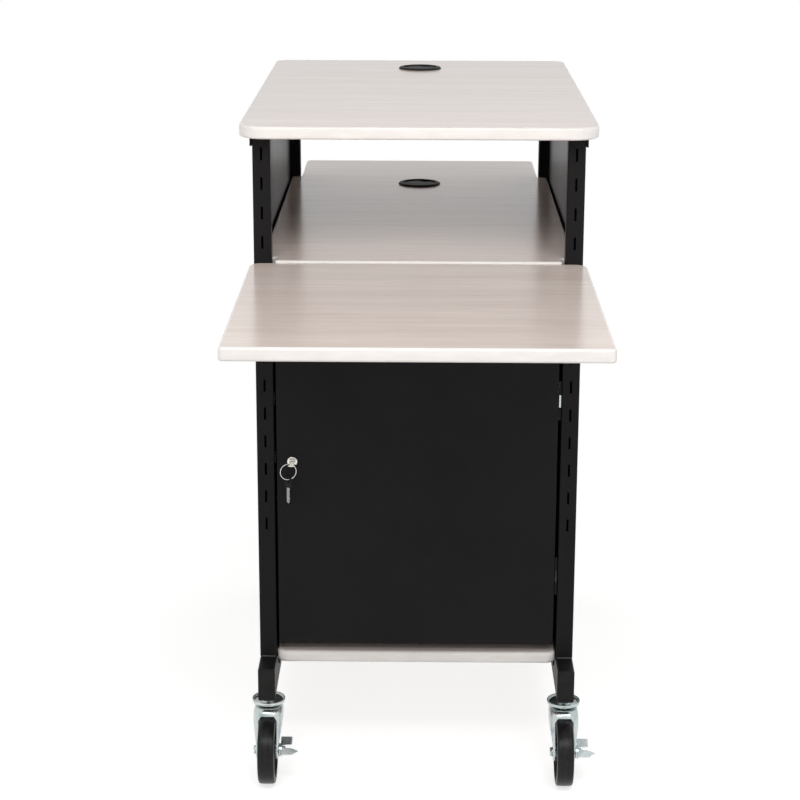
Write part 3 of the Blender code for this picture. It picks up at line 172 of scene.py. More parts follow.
scene.view_settings.view_transform = "Standard"
scene.world = bpy.data.worlds.new("studio")
scene.world.use_nodes = True
tree = scene.world.node_tree
tree.nodes.clear()
direction = add_node(tree, "ShaderNodeTexCoord")
parts = add_node(tree, "ShaderNodeSeparateXYZ", {0: direction.outputs["Generated"]})
band = add_node(tree, "ShaderNodeMapRange", {
    "Value": parts.outputs["Z"], "From Min": BAND_LOW, "From Max": BAND_HIGH,
    "To Min": WORLD_LOW, "To Max": WORLD_HIGH})
fill = add_node(tree, "ShaderNodeBackground", {"Color": FILL_COLOUR, "Strength": band})
white = add_node(tree, "ShaderNodeBackground", {"Color": (1, 1, 1, 1), "Strength": 1.0})
seen_or_lit(tree, fill, white, "ShaderNodeOutputWorld")
print("world strength from", WORLD_LOW, "low down to", WORLD_HIGH, "above")

# %% Floor
FLOOR_HALF = 7.0
FLOOR_GLOW = 0.62
FLOOR_COLOUR = (0.80, 0.80, 0.80, 1)

floor = add_object("floor", bpy.data.meshes.new("floor"))
ring = [(x * FLOOR_HALF, y * FLOOR_HALF, 0) for x, y in ((-1, -1), (1, -1), (1, 1), (-1, 1))]
floor.data.from_pydata(ring, [], [(0, 1, 2, 3)])
floor_paint = bpy.data.materials.new("floor_paint")
floor_paint.use_nodes = True
tree = floor_paint.node_tree
tree.nodes.clear()
matte = add_node(tree, "ShaderNodeBsdfDiffuse", {"Color": FLOOR_COLOUR})
glow = add_node(tree, "ShaderNodeEmission", {"Strength": FLOOR_GLOW})
both = add_node(tree, "ShaderNodeAddShader", {0: matte, 1: glow})
seen_or_lit(tree, matte, both, "ShaderNodeOutputMaterial")
floor.data.materials.append(floor_paint)
floor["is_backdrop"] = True
print("floor", 2 * FLOOR_HALF, "m wide")

# %% [markdown]
# ## Lamps
# Two soft lamps hang in front. The high one lights the whole cart. The low one is for the work shelf, which
# the photograph shows nearly as bright as the top. A strong lamp overhead would light the top far more.

# %% Soft lamps
LAMPS = {"front_softbox": ((0.3, -2.4, 3.1), (0.0, -0.2, 0.6), (2.2, 1.6), 20),
         "shelf_softbox": ((0.0, -1.4, 1.75), (0.0, -0.35, 0.6), (1.4, 0.6), 10.5)}

for name, (place, target, (width, height), power) in LAMPS.items():
    lamp = add_object(name, bpy.data.lights.new(name, "AREA"))
    lamp.data.shape = "RECTANGLE"
    lamp.data.size, lamp.data.size_y = width, height
    lamp.data.energy = power
    lamp.location = place
    lamp.rotation_euler = (Vector(target) - Vector(place)).to_track_quat("-Z", "Y").to_euler()
    print("lamp", name, power, "W")

# %% [markdown]
# ## Finishes
# Every finish is built from noise in Object coordinates, so it stays put when a piece moves. A value that is
# the same all over goes straight on the shader, and only what varies is wired up. The class below holds a
# material's tree and shader and has one method for each thing that a noise can drive.

# %% A material to start from
EVEN = (1.0, 1.0, 1.0)


def grey(value):
    return (value, value, value)


class Finish:
    def __init__(self, name, colour, roughness, metallic=0.0, specular=None):
        self.material = bpy.data.materials.new(name)
        self.material.use_nodes = True
        self.tree = self.material.node_tree
        self.shader = self.tree.nodes["Principled BSDF"]
        values = {"Base Color": (*colour, 1), "Roughness": roughness, "Metallic": metallic}
        if specular is not None:
            values["Specular IOR Level"] = specular
        for socket, value in values.items():
            self.shader.inputs[socket].default_value = value
        self.place = add_node(self.tree, "ShaderNodeTexCoord").outputs["Object"]
        print("finish", name)

    def noise(self, scale, detail, roughness, stretch=EVEN):
        """Noise whose grain is stretched by different amounts along X, Y and Z."""
        mapping = add_node(self.tree, "ShaderNodeMapping", {"Vector": self.place, "Scale": stretch})
        return add_node(self.tree, "ShaderNodeTexNoise", {
            "Vector": mapping, "Scale": scale, "Detail": detail, "Roughness": roughness})

    def ramp(self, source, stops):
        """Colour ramp through (position, colour) stops, fed by a node's factor."""
        ramp = add_node(self.tree, "ShaderNodeValToRGB", {"Fac": source})
        elements = ramp.color_ramp.elements
        while len(elements) < len(stops):
            elements.new(1.0)
        for element, (position, colour) in zip(elements, stops):
            element.position = position
            element.color = (*colour, 1)
        return ramp.outputs["Color"]

    def multiplied(self, first, second):
        mix = add_node(self.tree, "ShaderNodeMix", {0: 1.0, 6: first, 7: second},
                       data_type="RGBA", blend_type="MULTIPLY")
        return mix.outputs[2]

    def paint(self, colour):
        self.tree.links.new(colour, self.shader.inputs["Base Color"])

    def vary_roughness(self, source, low, high):
        spread = add_node(self.tree, "ShaderNodeMapRange", {"Value": source, "To Min": low, "To Max": high})
        self.tree.links.new(spread.outputs[0], self.shader.inputs["Roughness"])

    def bump(self, source, strength, distance):
        bump = add_node(self.tree, "ShaderNodeBump", {
            "Height": source, "Strength": strength, "Distance": distance})
        self.tree.links.new(bump.outputs[0], self.shader.inputs["Normal"])


# %% [markdown]
# ### Laminate
# The boards are covered with a thin printed sheet, a warm grey like bleached ash. Its grain runs across
# the cart: wide soft bands, finer streaks, and short dark pores. Three noises, each stretched along X
# by a different amount, give these. A wave texture was the other choice, but its lines are too even.

# %% Laminate
LAMINATE_LIGHT = (0.752, 0.655, 0.608)
LAMINATE_MIDDLE = (0.720, 0.621, 0.570)
LAMINATE_DARK = (0.678, 0.576, 0.522)
PORE_GREY = 0.72

ash = Finish("laminate_ash", LAMINATE_MIDDLE, 0.20, specular=0.36)
bands = ash.noise(3.0, 5.0, 0.6, (0.7, 7.0, 7.0))
streaks = ash.noise(2.2, 6.0, 0.65, (3.0, 95.0, 95.0))
specks = ash.noise(1.6, 3.0, 0.5, (16.0, 330.0, 330.0))
colour = ash.ramp(bands, [(0.30, LAMINATE_DARK), (0.50, LAMINATE_MIDDLE), (0.72, LAMINATE_LIGHT)])
fine = ash.ramp(streaks, [(0.30, grey(0.90)), (0.52, grey(1.0)), (0.75, grey(1.05))])
pores = ash.ramp(specks, [(0.255, grey(PORE_GREY)), (0.33, grey(1.0))])
ash.paint(ash.multiplied(ash.multiplied(colour, fine), pores))
ash.vary_roughness(streaks, 0.15, 0.24)
ash.bump(streaks, 0.10, 0.0002)
laminate = ash.material

# %% [markdown]
# ### Edging
# A paler plastic strip is bent round every board. It is smoother than the top, has no grain, and shows
# a faint milky mottle and fine marks along its length.

# %% Edging
strip = Finish("edge_strip", (0.74, 0.70, 0.67), 0.30)
mottle = strip.noise(3.0, 4.0, 0.6, (9.0, 9.0, 40.0))
strip.paint(strip.ramp(mottle, [(0.3, (0.705, 0.666, 0.637)), (0.7, (0.762, 0.731, 0.709))]))
strip.bump(strip.noise(1.0, 3.0, 0.5, (60.0, 60.0, 900.0)), 0.06, 0.0002)
edging = strip.material

# %% [markdown]
# ### Powder coat
# The steel is covered with a fine black powder coat. Up close it is a field of tiny rounded bumps, which
# spread the light, and wider patches that are a little duller where hands and dust reach. The side panels
# have a smoother coat. The paint over the welds is smoother still, so that it catches a thin light line.

# %% Powder coat
DARKER, LIGHTER = 0.86, 1.16


def powder(name, colour, low, high, specular=0.07):
    coat = Finish(name, colour, (low + high) / 2, specular=specular)
    patches = coat.noise(5.0, 5.0, 0.6)
    coat.vary_roughness(patches, low, high)
    coat.paint(coat.ramp(patches, [(0.3, [value * DARKER for value in colour]),
                                   (0.7, [value * LIGHTER for value in colour])]))
    coat.bump(coat.noise(1400.0, 2.0, 0.5), 0.16, 0.0003)
    return coat.material


powder_coat = powder("powder_coat", (0.0115, 0.0107, 0.0109), 0.36, 0.50)
inner_coat = powder("panel_coat", (0.0120, 0.0108, 0.0106), 0.26, 0.40)
weld_coat = powder("weld_coat", (0.022, 0.021, 0.021), 0.18, 0.30, 0.55)

# %% [markdown]
# ### Moulded plastic
# Grommets, foot plugs and the spare key's head are black plastic from a lightly textured mould.

# %% Moulded plastic
plastic = Finish("moulded_plastic", (0.016, 0.015, 0.015), 0.55, specular=0.10)
plastic.bump(plastic.noise(1900.0, 3.0, 0.6), 0.12, 0.0002)
cloud = plastic.noise(40.0, 3.0, 0.5)
plastic.paint(plastic.ramp(cloud, [(0.3, (0.012, 0.0115, 0.0115)), (0.7, (0.019, 0.018, 0.018))]))
moulded = plastic.material

# %% [markdown]
# ### Zinc plate
# Casters come zinc plated and dipped, which leaves a bluish shine with pale green and warm patches, and
# small flow marks from pressing. One noise tints the metal and varies how sharp it reflects, and a second,
# finer one makes the flow marks.

# %% Zinc plate
plated = Finish("zinc_plate", (0.66, 0.71, 0.73), 0.24, metallic=1.0)
tint = plated.noise(38.0, 4.0, 0.6)
plated.paint(plated.ramp(tint, [(0.28, (0.34, 0.40, 0.42)), (0.46, (0.50, 0.565, 0.57)),
                                (0.60, (0.60, 0.63, 0.61)), (0.76, (0.50, 0.52, 0.57))]))
plated.vary_roughness(tint, 0.16, 0.36)
plated.bump(plated.noise(420.0, 3.0, 0.6, (1.0, 1.0, 0.25)), 0.10, 0.0003)
zinc = plated.material

# %% [markdown]
# ### Nickel and steel
# Lock, key and ring are nickel plated: a warmer, sharper mirror with hairline scratches. The spare key's
# blade is bare steel, brushed along its length and much greyer.

# %% Nickel and steel
bright = Finish("nickel_plate", (0.72, 0.70, 0.66), 0.16, metallic=1.0)
hairlines = bright.noise(3.0, 2.0, 0.5, (40.0, 40.0, 900.0))
bright.paint(bright.ramp(hairlines, [(0.35, (0.66, 0.64, 0.60)), (0.65, (0.78, 0.76, 0.72))]))
bright.vary_roughness(hairlines, 0.10, 0.24)
bright.bump(hairlines, 0.05, 0.0001)
nickel = bright.material

bare = Finish("key_steel", (0.34, 0.33, 0.31), 0.36, metallic=1.0)
brushed = bare.noise(240.0, 3.0, 0.6, (1.0, 1.0, 14.0))
bare.paint(bare.ramp(brushed, [(0.3, (0.20, 0.19, 0.18)), (0.7, (0.40, 0.39, 0.37))]))
bare.bump(brushed, 0.10, 0.0001)
key_steel = bare.material

# %% [markdown]
# ### Black plate and painted shade
# Only the upper hinge shows a bright knuckle in the photograph. The lower hinge's door leaf is the same zinc
# leaf lying in shade, so this dark plate on it is painted shade. The pins and the screws are zinc plate with
# a black dip, which leaves them dark and faintly shiny.

# %% Black plate, also painted shade on the lower hinge leaf
# Dark dip for pins and screws; on the lower hinge's door leaf the same dark plate is painted shade.
dark_plate_and_shade = Finish("black_plate_and_painted_shade", (0.030, 0.030, 0.032), 0.34, metallic=1.0)
tint = dark_plate_and_shade.noise(60.0, 4.0, 0.6)
dark_plate_and_shade.paint(dark_plate_and_shade.ramp(tint, [(0.3, (0.022, 0.022, 0.024)), (0.7, (0.050, 0.048, 0.046))]))
dark_plate_and_shade.bump(tint, 0.05, 0.0002)
black_plate_and_painted_shade = dark_plate_and_shade.material

# %% [markdown]
# ### Hard rubber
# The wheels are hard black rubber. The photograph shows them nearly black under the fork and with a sheen
# low on the tread, so the rubber is dark and half glossy, with pale dust from the floor in its pores.

# %% Hard rubber
hard = Finish("hard_rubber", (0.008, 0.008, 0.009), 0.36, specular=0.22)
dust = hard.noise(160.0, 5.0, 0.65)
hard.paint(hard.ramp(dust, [(0.40, (0.0055, 0.0055, 0.0065)), (0.62, (0.010, 0.010, 0.011)),
                            (0.80, (0.030, 0.028, 0.026))]))
hard.vary_roughness(dust, 0.24, 0.44)
hard.bump(hard.noise(900.0, 3.0, 0.6), 0.20, 0.0003)
rubber = hard.material

# %% Finishes by material slot
finish_of = {"laminate": laminate, "black_steel": powder_coat, "black_plastic": moulded,
             "zinc": zinc, "chrome": nickel, "rubber": rubber}
SPECIAL = {"side_panel_left": inner_coat, "side_panel_right": inner_coat,
           "hinge_upper_pin": black_plate_and_painted_shade, "hinge_lower_pin": black_plate_and_painted_shade}
for name, node in frame["nodes"].items():
    node.data.materials.clear()
    node.data.materials.append(SPECIAL.get(name, finish_of[slot_of[name]]))
print("finished", len(frame["nodes"]), "nodes")

# %% [markdown]
# ## Outlines and rounded boards
# Every board is one outline pushed up with a rounded rim. Doing this in mesh code keeps the corner
# radii exact and lets the flat faces take laminate and the rim take the edge strip. A bevel modifier on
# a box could round the rim too, but not the notched middle shelf's inner corners as cleanly.

# %% Outline helpers
ARC_STEPS = 12
SAME_PLACE = 1e-6
LEAST_RADIUS_SHARE = 0.2


def rounded(corners, steps=ARC_STEPS):
    """Outline through (x, y, radius) corners, with an arc at each corner that has a radius."""
    points = []
    for index, (x, y, radius) in enumerate(corners):
        here = Vector((x, y))
        to_before = (Vector(corners[index - 1][:2]) - here).normalized()
        to_after = (Vector(corners[(index + 1) % len(corners)][:2]) - here).normalized()
        if radius <= 0:
            points.append((x, y))
            continue
        half_angle = to_before.angle(to_after) / 2
        reach = radius / math.tan(half_angle)
        centre = here + (to_before + to_after).normalized() * (radius / math.sin(half_angle))
        start = here + to_before * reach - centre
        turn = start.angle_signed(here + to_after * reach - centre)
        for step in range(steps + 1):
            arm = start.copy()
            arm.rotate(Matrix.Rotation(-turn * step / steps, 2))
            points.append((centre.x + arm.x, centre.y + arm.y))
    return points


def inset(corners, amount):
    """Every edge of a counterclockwise outline moved inwards by the same amount."""
    moved = []
    for index, (x, y, radius) in enumerate(corners):
        here = Vector((x, y))
        before = (here - Vector(corners[index - 1][:2])).normalized()
        after = (Vector(corners[(index + 1) % len(corners)][:2]) - here).normalized()
        left_before = Vector((-before.y, before.x))
        bisector = (left_before + Vector((-after.y, after.x))).normalized()
        shift = bisector * amount / bisector.dot(left_before)
        convex = before.cross(after) > 0
        new_radius = max(radius - amount, radius * LEAST_RADIUS_SHARE) if convex else radius + amount
        moved.append((x + shift.x, y + shift.y, new_radius if radius > 0 else 0))
    return moved


def circle(radius, steps, x=0.0, y=0.0):
    return [(x + radius * math.cos(math.tau * step / steps), y + radius * math.sin(math.tau * step / steps))
            for step in range(steps)]


def ring_of(solid, outline, height, place=Matrix()):
    return [solid.verts.new(place @ Vector((x, y, height))) for x, y in outline]


def join_rings(solid, rings):
    """Quads between each ring and the next one above it, which are given back."""
    faces = []
    for low, high in zip(rings, rings[1:]):
        for index in range(len(low)):
            follow = (index + 1) % len(low)
            faces.append(solid.faces.new((low[index], low[follow], high[follow], high[index])))
    return faces


print("an arc has", ARC_STEPS, "steps")

# %% From mesh to finished piece
SMOOTH_UNDER = math.radians(32)
CREASE = math.radians(50)


def shaded(mesh, crease=SMOOTH_UNDER):
    mesh.shade_smooth()
    mesh.set_sharp_from_angle(angle=crease)


def opened(mesh, reach):
    """Mesh as a bmesh whose points closer than the reach are merged."""
    solid = bmesh.new()
    solid.from_mesh(mesh)
    bmesh.ops.remove_doubles(solid, verts=solid.verts, dist=reach)
    return solid


def closed(solid, mesh):
    solid.to_mesh(mesh)
    solid.free()


def new_piece(name, solid, materials):
    """Object from a bmesh, with smooth shading up to a crease angle."""
    bmesh.ops.recalc_face_normals(solid, faces=solid.faces)
    mesh = bpy.data.meshes.new(name)
    closed(solid, mesh)
    for material in materials:
        mesh.materials.append(material)
    shaded(mesh)
    return add_object(name, mesh)


def adds_to(piece, node):
    """An extra detail rides with a node that stays in view."""
    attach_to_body(piece, body_of[node])


def stands_for(piece, node):
    """The piece rides like its node and hides it."""
    adds_to(piece, node)
    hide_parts(node)


def bake(piece):
    """Apply the piece's modifiers and keep the result as its mesh."""
    depsgraph = bpy.context.evaluated_depsgraph_get()
    mesh = bpy.data.meshes.new_from_object(piece.evaluated_get(depsgraph), depsgraph=depsgraph)
    piece.modifiers.clear()
    piece.data = mesh


def bevelled(piece, width, segments, limit, miter="MITER_SHARP"):
    bevel = piece.modifiers.new("ease", "BEVEL")
    bevel.width = width
    bevel.segments = segments
    bevel.limit_method = "ANGLE"
    bevel.angle_limit = math.radians(limit)
    bevel.use_clamp_overlap = True
    bevel.miter_outer = miter
    bake(piece)


print("piece helpers ready")

# %% Board maker
RIM_STEPS = 6
HOLE_STEPS = 64


def make_board(name, node, corners, ease, hole=None):
    """Board with a rounded rim; a hole is (x, y, radius). Corners are in the cart's own X and Y."""
    low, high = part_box(node)
    bottom, top = low.z, high.z
    placed = [(x + MIDDLE_X, y + FRONT_Y, radius) for x, y, radius in corners]
    profile = []
    for step in range(RIM_STEPS + 1):
        angle = math.pi / 2 * step / RIM_STEPS
        profile.append((ease * (1 - math.sin(angle)), bottom + ease * (1 - math.cos(angle))))
    profile += [(amount, top + bottom - z) for amount, z in reversed(profile)]
    solid = bmesh.new()
    rings = [ring_of(solid, rounded(inset(placed, amount) if amount > SAME_PLACE else placed), z)
             for amount, z in profile]
    for face in join_rings(solid, rings):
        face.material_index = 1
    hole_rings = []
    if hole:
        outline = circle(hole[2], HOLE_STEPS, hole[0] + MIDDLE_X, hole[1] + FRONT_Y)
        hole_rings = [ring_of(solid, outline, z) for z in (bottom, top)]
        join_rings(solid, hole_rings)
    for end in (0, -1):
        borders = [rings[end]] + ([hole_rings[end]] if hole else [])
        edges = [solid.edges.get((border[index], border[index - 1]))
                 for border in borders for index in range(len(border))]
        bmesh.ops.triangle_fill(solid, use_beauty=True, use_dissolve=False, edges=edges)
    piece = new_piece(name, solid, [laminate, edging])
    mesh = piece.data
    sharp = mesh.attributes.get("sharp_edge") or mesh.attributes.new("sharp_edge", "BOOLEAN", "EDGE")
    kinds = {}
    for polygon in mesh.polygons:
        for key in polygon.edge_keys:
            kinds.setdefault(key, set()).add(polygon.material_index)
    for edge in mesh.edges:
        if len(kinds.get(tuple(sorted(edge.vertices)), ())) > 1:
            sharp.data[edge.index].value = True
    stands_for(piece, node)
    print(name, len(mesh.polygons), "faces")


# %% [markdown]
# ## The four boards
# The top board has big round corners in front and smaller ones behind. The work board in front is
# wider than the frame. The middle board runs through the frame, so it is notched round the posts and
# comes out behind as a narrower tab. The bottom board fills the space between the posts.

# %% Boards
GROMMET_HOLE_RADIUS = 0.0299
TOP_EASE, BOTTOM_EASE, MIDDLE_EASE = 0.0034, 0.0050, 0.0030
HALF, NECK, TAB = 0.2250, 0.2065, 0.2085
AFTER_POSTS, BEFORE_POSTS = 0.0269, 0.7267
NECK_CORNER, TAB_CORNER = 0.004, 0.010


def box_corners(node, front_radius, rear_radius):
    low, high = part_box(node)
    left, right = low.x - MIDDLE_X, high.x - MIDDLE_X
    front, rear = low.y - FRONT_Y, high.y - FRONT_Y
    return [(left, front, front_radius), (right, front, front_radius),
            (right, rear, rear_radius), (left, rear, rear_radius)]


def grommet_hole(node):
    x, y, _ = centre_of(node)
    return x - MIDDLE_X, y - FRONT_Y, GROMMET_HOLE_RADIUS


make_board("top_board", "top_shelf", box_corners("top_shelf", 0.040, 0.022), TOP_EASE,
           grommet_hole("top_grommet_sleeve"))
make_board("work_board", "work_shelf", box_corners("work_shelf", 0.0055, 0.018), TOP_EASE)
make_board("bottom_board", "bottom_shelf", box_corners("bottom_shelf", 0.015, 0.015), BOTTOM_EASE)
front, rear = (corner.y - FRONT_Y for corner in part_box("middle_shelf"))
right_side = [(NECK, front, NECK_CORNER), (NECK, AFTER_POSTS, 0), (HALF, AFTER_POSTS, 0),
              (HALF, BEFORE_POSTS, 0), (TAB, BEFORE_POSTS, 0), (TAB, rear, TAB_CORNER)]
left_side = [(-x, y, radius) for x, y, radius in reversed(right_side)]
make_board("middle_board", "middle_shelf", left_side[-1:] + right_side + left_side[:-1], MIDDLE_EASE,
           grommet_hole("middle_grommet_sleeve"))

# %% [markdown]
# ## Steel with eased edges
# Sheet and tube never have perfectly sharp edges: the coat rounds them, and that thin highlight is what
# makes steel look like steel. A copy of each solid is merged, its flat areas are cleaned and a narrow
# bevel is put on its creases. The solids themselves are never touched.

# %% Eased copies
MERGE = 2e-6
FLAT = math.radians(0.6)
EASE_LIMIT = 40


def eased(node, width, material, segments=2):
    mesh = frame["nodes"][node].data.copy()
    solid = opened(mesh, MERGE)
    bmesh.ops.dissolve_limit(solid, angle_limit=FLAT, verts=solid.verts, edges=solid.edges)
    closed(solid, mesh)
    mesh.materials.clear()
    mesh.materials.append(material)
    piece = add_object(node + "_eased", mesh)
    bevelled(piece, width, segments, EASE_LIMIT, "MITER_ARC")
    shaded(piece.data, CREASE)
    weighted = piece.modifiers.new("even", "WEIGHTED_NORMAL")
    weighted.keep_sharp = True
    bake(piece)
    stands_for(piece, node)


# Steel, width of the ease, and the nodes that take it.
EASED = [(powder_coat, 0.0006, ("foot_left", "foot_right", "top_rail_left", "top_rail_right")),
         (powder_coat, 0.0004, ("middle_support_left", "middle_support_right", "bottom_support_left",
                                "bottom_support_right", "work_bracket_left", "work_bracket_right")),
         (powder_coat, 0.0008, ("door_panel",)),
         (powder_coat, 0.0003, ("latch_strike", "door_stop", "back_panel", "post_front_left",
                                "post_front_right")),
         (inner_coat, 0.0003, ("side_panel_left", "side_panel_right")),
         (nickel, 0.0002, ("key", "lock_plug")),
         (zinc, 0.0002, ("lock_cam", "hinge_upper_door_leaf")),
         # The lower hinge's door leaf takes the dark plate as painted shade; like the upper one it is really
         # zinc.
         (black_plate_and_painted_shade, 0.0002, ("hinge_lower_door_leaf",)),
         (powder_coat, 0.0002, ("hinge_upper_post_leaf", "hinge_lower_post_leaf"))]
for material, width, nodes in EASED:
    for node in nodes:
        eased(node, width, material)
    print("eased by", width, "m:", ", ".join(nodes))

# %% [markdown]
# ## Round pieces, stacks and sheets
# Casters, locks and grommets are mostly round, so one helper spins a profile and another stacks outlines
# for hexagon nuts. Corners of a profile are softened first, because pressed and turned parts have no sharp
# ones. A screw modifier could spin a profile as well, but leaves the poles open.

# %% Spinning and stacking
FINE_STEPS, ROUND_STEPS, BOLT_STEPS, TIP_STEPS = 96, 64, 32, 24
REACH_SHARE = 0.45
HEXAGON_CHAMFER_SHARE = 0.90
HEXAGON_EASE = 0.0005


def softened(profile, radius, steps=3):
    """Open profile with each inner corner rounded by at most the radius."""
    points = [profile[0]]
    for before, here, after in zip(profile, profile[1:], profile[2:]):
        before, here, after = Vector(before), Vector(here), Vector(after)
        start = here + (before - here).normalized() * min(radius, (before - here).length * REACH_SHARE)
        end = here + (after - here).normalized() * min(radius, (after - here).length * REACH_SHARE)
        for step in range(steps + 1):
            share = step / steps
            points.append(tuple(start.lerp(here, share).lerp(here.lerp(end, share), share)))
    points.append(profile[-1])
    return points


def loop_softened(profile, radius):
    return softened(profile + [profile[0]], radius)[:-1]


def spin(solid, profile, steps, place=Matrix(), looped=False, kinds=None):
    """Turn (radius, height) points about the local Z axis; kinds gives each band's material index."""
    rings = []
    for radius, height in profile:
        turns = [math.tau * step / steps for step in range(1 if radius < SAME_PLACE else steps)]
        outline = [(radius * math.cos(turn), radius * math.sin(turn)) for turn in turns]
        rings.append(ring_of(solid, outline, height, place))
    pairs = list(zip(rings, rings[1:])) + ([(rings[-1], rings[0])] if looped else [])
    for band, (low, high) in enumerate(pairs):
        for step in range(steps):
            follow = (step + 1) % steps
            corners = [low[step % len(low)], low[follow % len(low)],
                       high[follow % len(high)], high[step % len(high)]]
            corners = list(dict.fromkeys(corners))
            if len(corners) > 2:
                face = solid.faces.new(corners)
                face.material_index = kinds[band] if kinds else 0


def stack(solid, levels, place=Matrix()):
    """Loft through (outline, height) levels and close both ends."""
    rings = [ring_of(solid, outline, height, place) for outline, height in levels]
    join_rings(solid, rings)
    solid.faces.new(rings[0][::-1])
    solid.faces.new(rings[-1])


def slab(outline, low, high, place=Matrix()):
    """Closed prism in a bmesh of its own."""
    solid = bmesh.new()
    stack(solid, [(outline, low), (outline, high)], place)
    return solid


def rounded_box(half_width, low, high, radius, steps=6):
    """Box outline that is as wide to the left as to the right, with four round corners."""
    return rounded([(-half_width, low, radius), (half_width, low, radius),
                    (half_width, high, radius), (-half_width, high, radius)], steps)


def hexagon(solid, radius, low, high, place=Matrix()):
    """Hexagon nut or bolt head with chamfered corners."""
    small, full = circle(radius * HEXAGON_CHAMFER_SHARE, 6), circle(radius, 6)
    stack(solid, [(small, low), (full, low + HEXAGON_EASE), (full, high - HEXAGON_EASE), (small, high)],
          place)


def carve(piece, solid):
    """Cut a closed mesh out of a piece and forget the cutter."""
    cutter = new_piece("cutter", solid, [])
    boolean = piece.modifiers.new("carve", "BOOLEAN")
    boolean.object = cutter
    boolean.operation = "DIFFERENCE"
    boolean.solver = "EXACT"
    bake(piece)
    bpy.data.objects.remove(cutter, do_unlink=True)


def moved_to(x, y, z=0.0):
    return Matrix.Translation((x, y, z))


ALONG_X = Matrix.Rotation(math.pi / 2, 4, "Y")
ALONG_Y = Matrix.Rotation(-math.pi / 2, 4, "X")
UPRIGHT = Matrix.Rotation(math.pi / 2, 4, "X")
print("round tools ready")

# %% [markdown]
# ## Casters
# A caster is a fixed seat with a stem, a fork that swivels on a ball race under it, and a hard rubber
# wheel on a through bolt. Each of these is made once at a caster that stands at the origin, and its mesh is
# copied to the four corners, since all four are the same press work.

# %% Where the casters stand
CORNERS = ("front_left", "front_right", "rear_left", "rear_right")
FRONT_CORNERS, REAR_CORNERS = CORNERS[:2], CORNERS[2:]
stands = {corner: centre_of("caster_seat_" + corner)[:2] for corner in CORNERS}
wheel_low, wheel_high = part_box("caster_wheel_front_left")
WHEEL = (wheel_high.z - wheel_low.z) / 2
AXLE_Y = centre_of("caster_wheel_front_left")[1] - stands["front_left"][1]
AXLE = moved_to(0, AXLE_Y, WHEEL) @ ALONG_X
seat_low, seat_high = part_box("caster_seat_front_left")
FORK_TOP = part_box("caster_fork_front_left")[1].z
print("wheel radius", round(WHEEL, 4), "trail", round(-AXLE_Y, 4))


def copies(template, prefix, node_prefix, corners=CORNERS, attach=stands_for):
    """Copy a template made at the origin to each caster, then remove the template."""
    for corner in corners:
        mesh = template.data.copy()
        mesh.transform(moved_to(*stands[corner]))
        attach(add_object(prefix + corner, mesh), node_prefix + corner)
    print(prefix, "copies:", len(corners), "faces each:", len(template.data.polygons))
    bpy.data.objects.remove(template, do_unlink=True)


# %% [markdown]
# ### Seat
# The seat is a spun dish with a rolled lip, a stem with its nut above, and a riveted kingpin below. The lip
# is the brightest line of the caster, so it gets the most points.

# %% Seat
DISH_RIM_TOP = 0.1214
DISH_BASE = 0.1145
PRESSED_EASE = 0.0008
STEM_NUT_LOW, STEM_NUT_HIGH, STEM_NUT_RADIUS = 0.1240, 0.1329, 0.0089

solid = bmesh.new()
profile = [(0, seat_low.z), (0.0070, seat_low.z), (0.0104, seat_low.z + 0.0012), (0.0105, 0.1096),
           (0.0075, 0.1096), (0.0075, 0.1135), (0.0120, 0.1135), (0.0122, DISH_BASE), (0.0215, DISH_BASE),
           (0.0244, 0.1160), (0.0252, 0.1184), (0.0252, 0.1207), (0.0246, DISH_RIM_TOP), (0.0236, 0.1213),
           (0.0231, 0.1204), (0.0229, 0.1186), (0.0216, 0.1172), (0.0100, 0.1167), (0.0089, 0.1172),
           (0.0089, 0.1238), (0.0060, STEM_NUT_LOW), (0.0060, seat_high.z - 0.0015), (0.0048, seat_high.z),
           (0, seat_high.z)]
spin(solid, softened(profile, PRESSED_EASE), ROUND_STEPS)
hexagon(solid, STEM_NUT_RADIUS, STEM_NUT_LOW, STEM_NUT_HIGH)
copies(new_piece("caster_seat", solid, [zinc]), "seat_", "caster_seat_")

# %% [markdown]
# ### Fork
# The fork is pressed from one sheet: a round crown whose sides run down into two flat legs. Its section
# changes all the way, so it is lofted through seven measured sections that are smoothed by cutting their
# corners twice. An inner loft, an arch for the wheel and two bores are cut out, and a bevel rounds the cut
# edges, because those lips catch the light.

# %% Fork shell
SHEET, RUN_OUT = 0.0026, 0.02
LEAST_RADIUS = 0.0006
NEAR_SHARE, FAR_SHARE = 0.75, 0.25


def smoothed(levels, rounds=2):
    for _ in range(rounds):
        cut = [levels[0]]
        for before, after in zip(levels, levels[1:]):
            cut.append(tuple(a * NEAR_SHARE + b * FAR_SHARE for a, b in zip(before, after)))
            cut.append(tuple(a * FAR_SHARE + b * NEAR_SHARE for a, b in zip(before, after)))
        cut.append(levels[-1])
        levels = cut
    return levels


